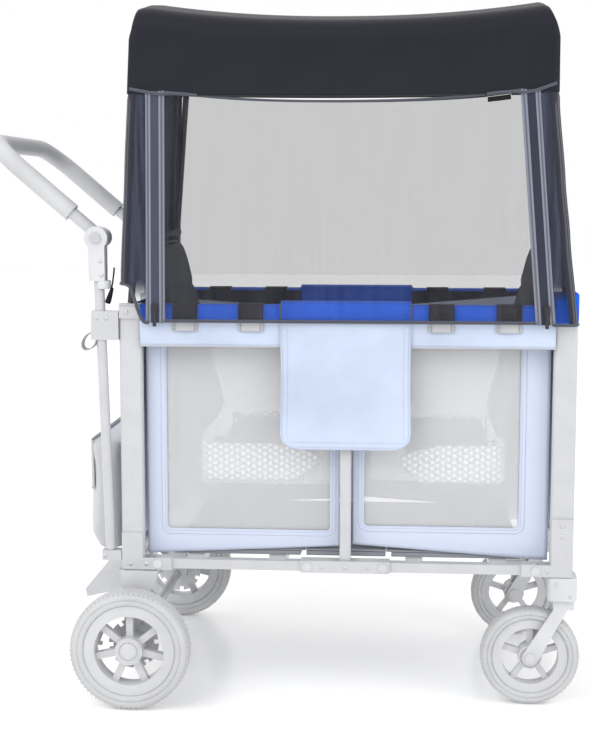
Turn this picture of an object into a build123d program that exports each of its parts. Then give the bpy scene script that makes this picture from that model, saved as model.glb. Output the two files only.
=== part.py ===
"""Folding two-seat kids pull wagon with a mesh canopy cover, modelled open and standing on its wheels.

Millimetres, +Z up, +X towards the casters at the front, ground at Z = 0. The sections below measure X from
the centre hinge line; save() shifts every solid by centre_offset, so that the whole wagon is centred on X = 0.
Facing +X, the right side is -Y and the left side is +Y.
"""
from build123d import *
import os
from math import atan2, cos, degrees, radians, sin, sqrt, tan

# Driving dimensions
half_length = 525                    # half of the overall length, from the handle bar to the front tyres
post_x = 374                         # end posts, from the centre hinge line
post_size = (40, 22)                 # along X and across Y
post_y = 233
post_bottom, post_top = 232, 703
rail_pivot_x = 330                   # rail hinge beside the end post
hinge_pivot_x = 66                   # rail hinge in the centre bracket
lower_rail_z, upper_rail_z = 244.5, 688
rail_height, rail_width = 17, 20
plate = 3                            # bracket plate thickness
pin_radius = 5
running_gap = 0.05                   # radial clearance of a pin or shaft in its hole
free_gap = 0.3                       # gap between curved faces that don't carry each other

rear_wheel = {"x": -371, "y": 295, "radius": 105, "width": 44, "rim": 80, "window": 61, "hub": 24, "spokes": 7}
front_wheel = {"x": 324, "y": 214, "radius": 86.5, "width": 36, "rim": 66, "window": 50, "hub": 20, "spokes": 5}
rear_axle_radius, front_axle_radius = 8, 6
caster_x = 378                       # swivel axis of the front casters
fork_crown = (174, 190)              # bottom and top of the crown

handle_pivot = (-431, 816)
handle_angle = 139.5                 # direction of the handle arms, degrees from +X towards +Z
handle_arm_y = 206
handle_tube_radius, grip_radius = 11, 16
handle_corner_radius = 70
handle_foot = (-414.5, 268)

brake_pivot = (-415, 165)
brake_travel = 14                    # degrees between free and locked
brake_ring = (36, 44)                # root and tip radius of the notched ring on each rear wheel
brake_notches = 12

seat_pivot = (361, 815)              # bar that a seat back hangs from
seat_lean = 15                       # degrees, from vertical
seat_half_width = 195
seat_back_length, seat_back_thickness = 370, 22
bench_hinge_gap = 6                  # bench hinge in front of the seat back's face
bench_top_z, bench_thickness = 452, 30
bench_front = {"rear": 47, "front": 94}
wing_back = {"rear": 0, "front": 22}  # how far the bench's side wings reach behind its hinge

floor_z, floor_thickness = 256, 8

canopy_hem_z, canopy_top_z = 672, 1231
canopy_base_x, canopy_top_x = 399, 356
canopy_base_y, canopy_top_y = 262, 247
canopy_cloth = 2
roof_hem_z, door_top_z = 1058, 1051
zip_gap = 8                          # half of the gap that a zip closes
zip_lines = {"right": {"rear": ((-327, 672), (-325, 1051)), "front": ((339, 672), (307, 1051))},
             "left": {"rear": ((-375, 672), (-360, 1051)), "front": ((367, 672), (340, 1051))}}
hoop_radius = 6

centre_offset = half_length - front_wheel["x"] - front_wheel["radius"]


# Shared shapes
def xz_plate(points, y0, y1):
    """A flat piece with an outline in XZ, from y0 to y1."""
    return extrude(Plane.XZ.offset(-y1) * Polygon(*points, align=None), amount=y1 - y0, dir=(0, -1, 0))


def box(x0, x1, y0, y1, z0, z1):
    return Pos((x0 + x1) / 2, (y0 + y1) / 2, (z0 + z1) / 2) * Box(x1 - x0, y1 - y0, z1 - z0)


def rod_y(radius, x, z, y0, y1):
    return Pos(x, (y0 + y1) / 2, z) * Rot(90, 0, 0) * Cylinder(radius, y1 - y0)


def rod_between(radius, start, end):
    """A round rod between two points."""
    line = Line(start, end)
    return sweep(Plane(origin=start, z_dir=line % 0) * Circle(radius), path=line)


def both_sides(*shapes):
    return [*shapes, *(mirror(shape, Plane.XZ) for shape in shapes)]


def solids_of(shapes):
    return [solid for shape in shapes for solid in shape.solids()]


def save(name, *shapes):
    os.makedirs("parts", exist_ok=True)
    shifted = [Pos(centre_offset, 0, 0) * solid for solid in solids_of(shapes)]
    export_step(shifted[0] if len(shifted) == 1 else Compound(shifted), f"parts/{name}.step")


# End frames: posts, cross bars, rail brackets and their pins. end is -1 at the rear and +1 at the front.
def post(end):
    x = end * post_x
    half = post_size[0] / 2
    y0, y1 = post_y - post_size[1] / 2, post_y + post_size[1] / 2
    body = box(x - half, x + half, y0, y1, post_bottom, post_top)
    return fillet(body.edges().filter_by(Axis.Z), 6)


def cross_bars(end):
    x = end * (post_x + 12.5)
    inner_plate = post_y - post_size[1] / 2 - plate
    post_face = post_y - post_size[1] / 2
    reach = {lower_rail_z + 5: inner_plate, 450: post_face, upper_rail_z: inner_plate}
    return [rod_y(7, x, z, -y, y) for z, y in reach.items()]


def rail_bracket(end, z, upright):
    """Two plates beside the post that hold a rail's pin; the outer one runs up the post by upright."""
    outer_x, inner_x = end * 393, end * 305
    low, high = z - 10.5, z + 10.5
    post_in = end * 356
    y_in, y_out = post_y - post_size[1] / 2, post_y + post_size[1] / 2
    inner = xz_plate([(outer_x, low), (inner_x, low), (inner_x, high), (outer_x, high)], y_in - plate, y_in)
    outline = [(outer_x, low), (inner_x, low), (inner_x, high)]
    outline += [(post_in, high), (post_in, high + upright), (outer_x, high + upright)]
    outer = xz_plate(outline, y_out, y_out + plate)
    hole = rod_y(pin_radius + running_gap, end * rail_pivot_x, z, y_in - 20, y_out + 20)
    return [inner - hole, outer - hole]


def hinge_pin(x, z):
    y_in = post_y - post_size[1] / 2 - plate
    y_out = post_y + post_size[1] / 2 + plate
    shaft = rod_y(pin_radius, x, z, y_in - 1.5, y_out + 1.5)
    heads = rod_y(8, x, z, y_in - 1.5, y_in) + rod_y(8, x, z, y_out, y_out + 1.5)
    return shaft + heads


def end_panel(end):
    x = end * (post_x + 3.5)
    return box(x - 1.5, x + 1.5, -218, 218, 268, 700)


# Side rails: a link with a round end at each hinge, so that the four rails of a side fold as a parallelogram
def rail(end, z):
    span = rail_pivot_x - hinge_pivot_x
    middle = end * (rail_pivot_x + hinge_pivot_x) / 2
    link = extrude(Plane.XZ * SlotCenterToCenter(span, rail_height), amount=rail_width / 2, both=True)
    link = Pos(middle, post_y, z) * link
    for x in (rail_pivot_x, hinge_pivot_x):
        link -= rod_y(pin_radius + running_gap, end * x, z, post_y - 20, post_y + 20)
    return link


def floor_board(end):
    inner, outer = 80, 305
    x0, x1 = sorted((end * inner, end * outer))
    return box(x0, x1, -242, 242, floor_z, floor_z + floor_thickness)


def floor_beams(end):
    """Two flat cross beams that join the lower rails under a floor board."""
    x_places = (end * 120, end * 265)
    rail_in = post_y - rail_width / 2
    return [box(x - 15, x + 15, -rail_in, rail_in, lower_rail_z - 4, floor_z) for x in x_places]


def rail_sleeve(end):
    """Cloth band over an upper rail: an outer skirt, the top and a short inner skirt."""
    inner_end, outer_end, over_end = 114, 355, 300
    x0, x1 = sorted((end * inner_end, end * outer_end))
    t0, t1 = sorted((end * inner_end, end * over_end))
    skirt = box(x0, x1, 249, 251.5, 631, 702)
    top = box(t0, t1, 219, 251.5, 699.5, 702)
    lining = box(t0, t1, 219, 221, 660, 702)
    return skirt + top + lining


def side_panel(end):
    x0, x1 = sorted((end * 13, end * 352))
    return box(x0, x1, 210, 213, 268, 692)


# Centre: a post on each side between the rails, with a bracket at the bottom and at the top
def centre_post():
    body = box(-10, 10, post_y - 8, post_y + 8, lower_rail_z - 10.5, post_top - 3)
    return fillet(body.edges().filter_by(Axis.Z), 4)


def centre_bracket(z):
    y_in, y_out = post_y - 11, post_y + 11
    low, high, reach = z - 10.5, z + 10.5, 78
    outline = [(-reach, low), (reach, low), (reach, high), (-reach, high)]
    plates = [xz_plate(outline, y_in - plate, y_in), xz_plate(outline, y_out, y_out + plate)]
    for x in (-hinge_pivot_x, hinge_pivot_x):
        plates = [p - rod_y(pin_radius + running_gap, x, z, y_in - 20, y_out + 20) for p in plates]
    spacers = [rod_y(6, x, z, y_in, y_in + 3) + rod_y(6, x, z, y_out - 3, y_out) for x in (-2, 2)]
    web = spacers[0] + spacers[1]
    return [plates[0] + web.solids()[0], plates[1] + web.solids()[1]]


def centre_flap():
    """Cloth flap that hides the upper centre hinge, hanging outside with rounded lower corners."""
    outline = Plane.XZ.offset(-257) * Polygon((-112, 455), (112, 455), (112, 708), (-112, 708), align=None)
    outer = extrude(outline, amount=3)
    outer = fillet(outer.edges().filter_by(Axis.Y).group_by(Axis.Z)[0], 22)
    return outer + box(-112, 112, 214.5, 257, 705, 708) + box(-112, 112, 214.5, 216.5, 665, 708)


# Wheels, built about the Y axis at the origin
def tyre(wheel):
    depth = wheel["radius"] - wheel["rim"]
    middle = wheel["rim"] + depth / 2
    return revolve(Pos(middle, 0) * RectangleRounded(depth, wheel["width"], depth * 0.42), axis=Axis.Y)


def rim(wheel, bore, hub_width, disc_width):
    outer = wheel["rim"] - free_gap
    ring_width = wheel["width"] - 10
    wall = outer - wheel["window"]
    body = revolve(Pos(outer - wall / 2, 0) * Rectangle(wall, ring_width), axis=Axis.Y)
    body += rod_y(wheel["hub"], 0, 0, -hub_width / 2, hub_width / 2)
    reach = (wheel["hub"] + wheel["window"]) / 2
    length = wheel["window"] - wheel["hub"] + 6
    for number in range(wheel["spokes"]):
        spoke = Pos(0, 0, reach) * Box(wheel["hub"] * 0.5, disc_width, length)
        body += Rot(0, 360 * number / wheel["spokes"], 0) * spoke
    return body - rod_y(bore, 0, 0, -hub_width, hub_width)


def brake_disc():
    """Notched ring on the inner end of a rear hub; a notch faces the pawl."""
    root, tip = brake_ring
    disc = rod_y(tip, 0, 0, -36, -30) + rod_y(rear_wheel["hub"], 0, 0, -31, -10)
    first = degrees(pawl_angle())
    for number in range(brake_notches):
        turn = first + 360 * number / brake_notches
        notch = Pos((root + tip + 4) / 2, -33, 0) * Box(tip - root + 4, 10, 9)
        disc -= Rot(0, -turn, 0) * notch
    return disc - rod_y(rear_axle_radius + running_gap, 0, 0, -40, 0)


# Brake: the pawl swings about the brake rod until it stands square to a radius of the notched ring
def pawl_reach():
    """Length of the pawl arm, from the rod to the middle of its tooth when engaged."""
    dx, dz = brake_pivot[0] - rear_wheel["x"], brake_pivot[1] - rear_wheel["radius"]
    return sqrt(dx * dx + dz * dz - (brake_ring[0] + 3) ** 2)


def pawl_angle():
    """Direction of the engaged tooth from the rear axle, in radians from +X towards +Z."""
    dx, dz = brake_pivot[0] - rear_wheel["x"], brake_pivot[1] - rear_wheel["radius"]
    return atan2(dz, dx) + atan2(pawl_reach(), brake_ring[0] + 3)


def brake_pawl(y0, y1):
    px, pz = brake_pivot
    angle = pawl_angle()
    tooth_x = rear_wheel["x"] + (brake_ring[0] + 5) * cos(angle)
    tooth_z = rear_wheel["radius"] + (brake_ring[0] + 5) * sin(angle)
    stem_x = rear_wheel["x"] + (brake_ring[1] + 8) * cos(angle)
    stem_z = rear_wheel["radius"] + (brake_ring[1] + 8) * sin(angle)
    arm = xz_plate([(px - 7, pz), (px + 7, pz), (stem_x + 5, stem_z - 3), (stem_x - 5, stem_z - 3)], y0, y1)
    tooth = xz_plate([(stem_x, stem_z - 3), (stem_x, stem_z + 3), (tooth_x, tooth_z + 3), (tooth_x, tooth_z - 3)],
                     y0, y1)
    engaged = arm + tooth + rod_y(10, px, pz, y0, y1)
    return Pos(px, 0, pz) * Rot(0, brake_travel, 0) * Pos(-px, 0, -pz) * engaged


def brake_pedal():
    px, pz = brake_pivot
    rod = rod_y(6, px, pz, -264, 264)
    outline = [(px - 4, pz + 6), (-436, 184), (-474, 180), (-502, 146), (-499, 131), (-442, 144), (px - 4, pz - 6)]
    pedal = xz_plate(outline, -58, 58)
    return rod + pedal + brake_pawl(-265, -259) + brake_pawl(259, 265)


def rear_leg():
    ax, az = rear_wheel["x"], rear_wheel["radius"]
    px, pz = brake_pivot
    column = xz_plate([(-396, post_bottom), (-330, post_bottom), (-336, 205), (-350, 190), (ax + 17, az),
                       (ax - 17, az), (-392, 190)], 224, 250)
    foot = rod_y(17, ax, az, 224, 250)
    ear = make_hull((Sketch() + [Pos(px, pz) * Circle(12), Pos(-384, 170) * Circle(12)]).edges())
    ear = extrude(Plane.XZ.offset(-250) * ear, amount=26)
    body = column + foot + ear
    body -= rod_y(6 + running_gap, px, pz, 200, 270)
    return body - rod_y(rear_axle_radius + running_gap, ax, az, 200, 270)


# Front legs and casters
def front_leg():
    body = box(352, 402, 190, 246, fork_crown[1] + 1, post_bottom)
    body = fillet(body.edges().filter_by(Axis.Z), 8)
    stem_top = 226
    bore = Pos(caster_x, front_wheel["y"], (fork_crown[1] + stem_top) / 2 + 0.5)
    return body - bore * Cylinder(7 + running_gap, stem_top - fork_crown[1] + 2)


def caster_fork():
    wx, wz, wy = front_wheel["x"], front_wheel["radius"], front_wheel["y"]
    half_gap = front_wheel["width"] / 2 + 2
    arm = make_hull((Sketch() + [Pos(caster_x, 180) * Circle(10), Pos(wx, wz) * Circle(14)]).edges())
    arm = extrude(Plane.XZ * arm, amount=6)
    fork = Pos(0, wy - half_gap, 0) * arm + Pos(0, wy + half_gap + 6, 0) * arm
    fork += box(caster_x - 16, caster_x + 20, wy - half_gap - 6, wy + half_gap + 6, *fork_crown)
    fork += Pos(caster_x, wy, (fork_crown[1] + 225) / 2) * Cylinder(7, 225 - fork_crown[1])
    return fork - rod_y(front_axle_radius + running_gap, wx, wz, wy - 60, wy + 60)


def caster_axle():
    wx, wz, wy = front_wheel["x"], front_wheel["radius"], front_wheel["y"]
    reach = front_wheel["width"] / 2 + 8
    axle = rod_y(front_axle_radius, wx, wz, wy - reach, wy + reach)
    return axle + rod_y(9, wx, wz, wy + reach, wy + reach + 3) + rod_y(9, wx, wz, wy - reach - 3, wy - reach)


# Handle
def along_handle(distance):
    turn = radians(handle_angle)
    return handle_pivot[0] + distance * cos(turn), handle_pivot[1] + distance * sin(turn)


def handle_reach():
    """Distance from the pivot to the bar, so that the grip ends at the rear of the overall length."""
    bar_x = -half_length - centre_offset + grip_radius
    return (bar_x - handle_pivot[0]) / cos(radians(handle_angle))


def handle_path(start):
    """U-shaped centre line in the handle's own plane, from start along one arm and back along the other."""
    far = handle_reach()
    points = [(start, -handle_arm_y), (far, -handle_arm_y), (far, handle_arm_y), (start, handle_arm_y)]
    return FilletPolyline(*points, radius=handle_corner_radius)


def in_handle_plane(shape):
    return Pos(handle_pivot[0], 0, handle_pivot[1]) * Rot(0, -handle_angle, 0) * shape


def push_handle():
    path = handle_path(12)
    tube = sweep(Plane(origin=path @ 0, z_dir=path % 0) * Circle(handle_tube_radius), path=path)
    hub = rod_y(18, 0, 0, handle_arm_y - 10, 223.5)
    body = tube + hub + mirror(hub, Plane.XZ)
    bore = rod_y(pin_radius + running_gap, 0, 0, 180, 240)
    return in_handle_plane(body - bore - mirror(bore, Plane.XZ))


def handle_grip():
    path = handle_path(66)
    ring = Circle(grip_radius) - Circle(handle_tube_radius + free_gap)
    return in_handle_plane(sweep(Plane(origin=path @ 0, z_dir=path % 0) * ring, path=path))


def handle_hub():
    hx, hz = handle_pivot
    disc = rod_y(20, hx, hz, 224, 250)
    socket = box(hx - 13, hx + 15, 224, 250, hz - 74, hz - 4)
    well = rod_y(9 + running_gap, hx, hz, 238, 251)
    pin = rod_y(pin_radius, hx, hz, 197, 226)
    return disc + socket - well - support_tube(9 + free_gap, 0) + pin


def support_tube(radius, start=0.0):
    """Straight tube from the foot block up to the handle hub."""
    fx, fz = handle_foot
    hx, hz = handle_pivot
    share = (hz - 24 - fz) / (hz - fz)
    top = (fx + (hx - fx) * share, 237, fz + (hz - fz) * share)
    return rod_between(radius, (fx, 237, fz), top)


def support_brackets():
    upper = box(-442, -(post_x + 20), 226, 248, 640, 690) - support_tube(9 + free_gap)
    lower = box(-428, -(post_x + 20), 226, 248, 250, 267.5)
    return [upper, lower]


# Seats: a leaning back that hangs from a bar, and a bench hinged to its lower edge
def seat_face_x(z):
    """Distance of the seat back's front face from the centre line at height z."""
    drop = seat_pivot[1] - z
    return seat_pivot[0] - drop * tan(radians(seat_lean)) - seat_back_thickness / 2 / cos(radians(seat_lean))


def bench_hinge():
    z = bench_top_z + 3
    return seat_face_x(z) - bench_hinge_gap / cos(radians(seat_lean)), z


def seat_back(end):
    half = seat_back_thickness / 2
    outline = [(-half, -14), (half, -14), (half, -seat_back_length), (-half, -seat_back_length)]
    board = xz_plate(outline, -seat_half_width, seat_half_width)
    board = fillet(board.edges().filter_by(Axis.X), 14)
    leaning = Pos(-seat_pivot[0], 0, seat_pivot[1]) * Rot(0, -seat_lean, 0) * board
    return leaning if end < 0 else mirror(leaning, Plane.YZ)


def seat_bench(end):
    place = "rear" if end < 0 else "front"
    hinge_x, hinge_z = bench_hinge()
    front = bench_front[place]
    back = hinge_x - 3
    board = box(-back, -front, -seat_half_width, seat_half_width, bench_top_z - bench_thickness, bench_top_z)
    tube = rod_y(5, -hinge_x, hinge_z, -seat_half_width + 5, seat_half_width - 5)
    lug = box(-hinge_x - 3, -back + 4, -seat_half_width + 5, seat_half_width - 5, hinge_z - 12, hinge_z)
    edge = -hinge_x - wing_back[place]
    wing_z = bench_top_z + 3
    wing = xz_plate([(edge, wing_z), (-front, wing_z), (-front, wing_z - 68), (-front - 8, wing_z - 74),
                     (-hinge_x + 80, wing_z - 74), (edge, wing_z - 30)], seat_half_width, seat_half_width + 4)
    bench = board + tube + lug + wing + mirror(wing, Plane.XZ)
    return bench if end < 0 else mirror(bench, Plane.YZ)


# Storage bag behind the rear posts
def storage_bag():
    body = box(-463, -398, -200, 200, 259, 453)
    return fillet(body.edges().filter_by(Axis.Z), 14)


# Canopy: two leaning hoops that carry a roof, two end walls with corner returns, and two side doors
def canopy_hoop(end):
    leg_y, top_y, top_z = post_y - 1, post_y - 14, 1200
    foot_z = post_top + 0.6
    points = [(-leg_y, foot_z), (-top_y, top_z), (0, top_z + 12), (top_y, top_z), (leg_y, foot_z)]
    path = Plane.YZ * FilletPolyline(*points, radius=[45, 900, 45])
    hoop = sweep(Plane(origin=path @ 0, z_dir=path % 0) * Circle(hoop_radius), path=path)
    lean = degrees(atan2(40, top_z - post_top))
    hoop = Pos(-post_x, 0, post_top) * Rot(0, lean, 0) * Pos(0, 0, -post_top) * hoop
    return hoop if end < 0 else mirror(hoop, Plane.YZ)


def seat_bar(end):
    reach = post_y - 11
    return rod_y(6, end * seat_pivot[0], seat_pivot[1], -reach, reach)


def canopy_envelope(inset, base_z):
    """Solid inside the canopy's surface: its side outline and its end outline, crossed."""
    slope_x = (canopy_base_x - canopy_top_x) / (canopy_top_z - canopy_hem_z)
    slope_y = (canopy_base_y - canopy_top_y) / (canopy_top_z - canopy_hem_z)
    base_x = canopy_base_x + slope_x * (canopy_hem_z - base_z) - inset
    base_y = canopy_base_y + slope_y * (canopy_hem_z - base_z) - inset
    top = canopy_top_z - inset
    side = Polygon((-base_x, base_z), (base_x, base_z), (canopy_top_x - inset, top),
                   (-canopy_top_x + inset, top), align=None)
    side = fillet(side.vertices().group_by(Axis.Y)[-1], 40 - inset)
    across = Polygon((-base_y, base_z), (base_y, base_z), (canopy_top_y - inset, top - 20), (0, top),
                     (-canopy_top_y + inset, top - 20), align=None)
    across = fillet(across.vertices().group_by(Axis.Y)[1], 45 - inset)
    along_y = extrude(Plane.XZ * side, amount=300, both=True)
    along_x = extrude(Plane.YZ * across, amount=450, both=True)
    return along_y & along_x


def canopy_parts():
    shell = canopy_envelope(0, canopy_hem_z) - canopy_envelope(canopy_cloth, canopy_hem_z - 20)
    roof = shell & box(-450, 450, -300, 300, roof_hem_z, 1300)
    below = shell & box(-450, 450, -300, 300, canopy_hem_z - 5, door_top_z)
    ends, doors = [], []
    halves = {"right": (-300, 0), "left": (0, 300)}
    for name, (y0, y1) in halves.items():
        (rb, rt), (fb, ft) = zip_lines[name]["rear"], zip_lines[name]["front"]
        rear_edge = [(rb[0] - zip_gap, rb[1] - 10), (rt[0] - zip_gap, rt[1] + 10)]
        front_edge = [(fb[0] + zip_gap, fb[1] - 10), (ft[0] + zip_gap, ft[1] + 10)]
        ends.append([below & xz_plate([(-450, 600), rear_edge[0], rear_edge[1], (-450, 1100)], y0, y1),
                     below & xz_plate([(450, 600), front_edge[0], front_edge[1], (450, 1100)], y0, y1)])
        doors.append(below & xz_plate([(rb[0] + zip_gap, 600), (fb[0] - zip_gap, 600), (fb[0] - zip_gap, rb[1]),
                                       (ft[0] - zip_gap, 1100), (rt[0] + zip_gap, 1100), (rb[0] + zip_gap, rb[1])],
                                      y0, y1))
    ends = [ends[0][0] + ends[1][0], ends[0][1] + ends[1][1]]
    doors = doors[0] + doors[1]
    for side in (-1, 1):
        notch = box(-450, -380, min(side * 216, side * 252), max(side * 216, side * 252), 640, 706)
        ends[0] -= notch
    return roof, ends, doors


def zip_slider(place, side):
    """Slider and pull of one canopy zip, just outside the cloth at the bottom of its travel."""
    (x, z), _ = zip_lines["left" if side > 0 else "right"][place]
    z += 24
    slope = (canopy_base_y - canopy_top_y) / (canopy_top_z - canopy_hem_z)
    y = canopy_base_y - slope * (z - canopy_hem_z) + 1
    slider = box(x - 5, x + 5, y, y + 5, z - 8, z + 8)
    pull = box(x - 3, x + 3, y + 5, y + 6.5, z - 30, z + 4)
    return slider + pull if side > 0 else mirror(slider + pull, Plane.XZ)


# Rear frame
save("rear_posts", *both_sides(post(-1)))
save("rear_cross_bars", *cross_bars(-1), seat_bar(-1))
save("rear_rail_brackets", *both_sides(*rail_bracket(-1, lower_rail_z, 45), *rail_bracket(-1, upper_rail_z, 0)))
save("rear_hinge_pins", *both_sides(*(hinge_pin(-rail_pivot_x, z) for z in (lower_rail_z, upper_rail_z))))
save("rear_legs", *both_sides(rear_leg()))
save("rear_axle", rod_y(rear_axle_radius, rear_wheel["x"], rear_wheel["radius"], -316, 316))
save("handle_support_tubes", *both_sides(support_tube(9)))
save("handle_support_brackets", *both_sides(*support_brackets()))
save("handle_hubs", *both_sides(handle_hub()))
save("storage_bag", storage_bag())
save("rear_end_panel", end_panel(-1))
save("rear_canopy_hoop", canopy_hoop(-1))
save("rear_side_panels", *both_sides(side_panel(-1)))

# Canopy
roof, ends, doors = canopy_parts()
save("canopy_roof", roof)
save("canopy_end_walls", *ends)
save("canopy_side_doors", doors)

# Handle and its release buttons
save("push_handle", push_handle())
save("handle_grip", handle_grip())

# Brake
save("brake_pedal", brake_pedal())

# Rear rails and floor
save("rear_lower_rails", *both_sides(rail(-1, lower_rail_z)), *floor_beams(-1))
save("rear_floor_board", floor_board(-1))
save("rear_upper_rails", *both_sides(rail(-1, upper_rail_z)))
save("rear_rail_sleeves", *both_sides(rail_sleeve(-1)))

# Centre
save("centre_posts", *both_sides(centre_post()))
save("centre_hinge_brackets", *both_sides(*centre_bracket(lower_rail_z), *centre_bracket(upper_rail_z)))
centre_pins = [hinge_pin(x, z) for x in (-hinge_pivot_x, hinge_pivot_x) for z in (lower_rail_z, upper_rail_z)]
save("centre_hinge_pins", *both_sides(*centre_pins))
save("centre_floor_strip", box(-70, 70, -217, 217, floor_z, floor_z + floor_thickness))
save("centre_flaps", *both_sides(centre_flap()))

# Front rails and floor
save("front_lower_rails", *both_sides(rail(1, lower_rail_z)), *floor_beams(1))
save("front_floor_board", floor_board(1))
save("front_upper_rails", *both_sides(rail(1, upper_rail_z)))
save("front_rail_sleeves", *both_sides(rail_sleeve(1)))

# Front frame
save("front_posts", *both_sides(post(1)))
save("front_cross_bars", *cross_bars(1), seat_bar(1))
save("front_rail_brackets", *both_sides(*rail_bracket(1, lower_rail_z, 81), *rail_bracket(1, upper_rail_z, 0)))
save("front_hinge_pins", *both_sides(*(hinge_pin(rail_pivot_x, z) for z in (lower_rail_z, upper_rail_z))))
save("front_legs", *both_sides(front_leg()))
save("front_end_panel", end_panel(1))
save("front_canopy_hoop", canopy_hoop(1))
save("front_side_panels", *both_sides(side_panel(1)))

# Seats
for end, place in ((-1, "rear"), (1, "front")):
    save(f"{place}_seat_back", seat_back(end))
    save(f"{place}_seat_bench", seat_bench(end))

# Wheels, casters, buttons and zip sliders, one of each per side
for side, name in ((-1, "right"), (1, "left")):
    outward = Pos(rear_wheel["x"], side * rear_wheel["y"], rear_wheel["radius"])
    rear_rim = rim(rear_wheel, rear_axle_radius + running_gap, 42, 14) + brake_disc()
    rear_rim = rear_rim if side > 0 else mirror(rear_rim, Plane.XZ)
    save(f"rear_{name}_tyre", outward * tyre(rear_wheel))
    save(f"rear_{name}_rim", outward * rear_rim)

    place = Pos(front_wheel["x"], side * front_wheel["y"], front_wheel["radius"])
    save(f"front_{name}_tyre", place * tyre(front_wheel))
    save(f"front_{name}_rim", place * rim(front_wheel, front_axle_radius + running_gap, 38, 12))
    caster = [caster_fork(), caster_axle()]
    save(f"{name}_caster_fork", *(caster if side > 0 else [mirror(piece, Plane.XZ) for piece in caster]))

    button = rod_y(9, *handle_pivot, 242, 253)
    save(f"{name}_handle_button", button if side > 0 else mirror(button, Plane.XZ))
    save(f"rear_{name}_zip_slider", zip_slider("rear", side))
    save(f"front_{name}_zip_slider", zip_slider("front", side))
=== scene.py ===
import math
import bmesh
import bpy
from mathutils import Matrix, Vector


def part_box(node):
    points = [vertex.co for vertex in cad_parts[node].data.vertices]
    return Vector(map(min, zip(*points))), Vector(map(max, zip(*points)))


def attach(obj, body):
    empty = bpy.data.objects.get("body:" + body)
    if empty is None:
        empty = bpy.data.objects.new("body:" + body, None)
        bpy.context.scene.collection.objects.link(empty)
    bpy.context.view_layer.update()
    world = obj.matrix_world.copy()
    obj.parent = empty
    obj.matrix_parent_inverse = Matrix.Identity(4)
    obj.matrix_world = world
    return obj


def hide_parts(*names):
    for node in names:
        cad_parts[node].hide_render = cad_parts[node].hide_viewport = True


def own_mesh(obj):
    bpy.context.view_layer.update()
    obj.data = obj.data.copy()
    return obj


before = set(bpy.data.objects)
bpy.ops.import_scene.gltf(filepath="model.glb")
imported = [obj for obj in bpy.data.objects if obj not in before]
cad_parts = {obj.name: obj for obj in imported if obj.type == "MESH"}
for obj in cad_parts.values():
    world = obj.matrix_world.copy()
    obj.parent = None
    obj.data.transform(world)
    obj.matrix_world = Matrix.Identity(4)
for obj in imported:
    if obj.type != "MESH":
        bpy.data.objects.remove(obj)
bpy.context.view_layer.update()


def low(node):
    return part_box(node)[0]


def high(node):
    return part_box(node)[1]


hingeX = (low("centre_posts").x + high("centre_posts").x) / 2          # centre hinge line
railTop = high("rear_rail_sleeves").z
sides = {"right": -1, "left": 1}
ends = {"rear": -1, "front": 1}
frameOf = {"rear": "rear_frame", "front": "front_frame"}


def at(x, y, z):
    return Vector((hingeX + x, y,
            z))                                    # x is counted from the hinge line


view = {"place": at(0.1155, -2.799, 0.890), "turn": 4.52, "dip": 6.92, "lens": 71.6}


def setCamera():
    turn, dip = math.radians(view["turn"]), math.radians(view["dip"])
    forward = Vector((-math.sin(turn) * math.cos(dip), math.cos(turn) * math.cos(dip),
            -math.sin(dip)))
    camera = bpy.data.objects.new("camera", bpy.data.cameras.new("camera"))
    camera.data.lens = view["lens"]
    camera.location = view["place"]
    camera.rotation_euler = forward.to_track_quat("-Z", "Y").to_euler()
    bpy.context.collection.objects.link(camera)
    bpy.context.scene.camera = camera


studio = {"floor": (0.96, 0.96, 0.96), "world": 1.0, "key": 46, "fill": 20, "glow": 0.14}


def addLight(name, place, aim, size, power):
    lamp = bpy.data.lights.new(name, "AREA")
    lamp.shape, lamp.size, lamp.energy = "SQUARE", size, power
    holder = bpy.data.objects.new(name, lamp)
    holder.location = place
    holder.rotation_euler = (Vector(aim) - Vector(place)).to_track_quat("-Z", "Y").to_euler()
    bpy.context.collection.objects.link(holder)


def setStudio():
    world = bpy.data.worlds.new("studio")
    bpy.context.scene.world = world
    world.use_nodes = True
    backdrop = world.node_tree.nodes["Background"]
    backdrop.inputs["Color"].default_value = (1, 1, 1, 1)
    backdrop.inputs["Strength"].default_value = studio["world"]
    addLight("keyLight", (-1.6, -2.4, 3.0), (0, 0, 0.6), 2.4, studio["key"])
    addLight("fillLight", (2.6, -1.8, 1.8), (0, 0, 0.6), 2.0, studio["fill"])
    mesh = bpy.data.meshes.new("studioFloor")
    bm = bmesh.new()
    bmesh.ops.create_grid(bm, x_segments=1, y_segments=1, size=14)
    bm.to_mesh(mesh)
    floor = bpy.data.objects.new("studioFloor", mesh)
    floor.location.z = -0.0005
    bpy.context.collection.objects.link(floor)
    mat = bpy.data.materials.new("studioFloor")
    mat.use_nodes = True
    shader = mat.node_tree.nodes["Principled BSDF"]
    shader.inputs["Base Color"].default_value = (*studio["floor"], 1)
    shader.inputs["Roughness"].default_value = 0.22
    shader.inputs["Emission Color"].default_value = (1, 1, 1, 1)
    shader.inputs["Emission Strength"].default_value = studio["glow"]
    mesh.materials.append(mat)


setCamera()
setStudio()
print("camera and studio done")


def nodeMaterial(name):
    mat = bpy.data.materials.new(name)
    mat.use_nodes = True
    tree = mat.node_tree
    return mat, tree, tree.nodes["Principled BSDF"]


def addNode(tree, kind, **values):
    node = tree.nodes.new(kind)
    for key, value in values.items():
        if hasattr(node, key):
            setattr(node, key, value)
        else:
            node.inputs[key.replace("_", " ")].default_value = value
    return node


def joinTo(tree, start, end):
    tree.links.new(start, end)


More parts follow.
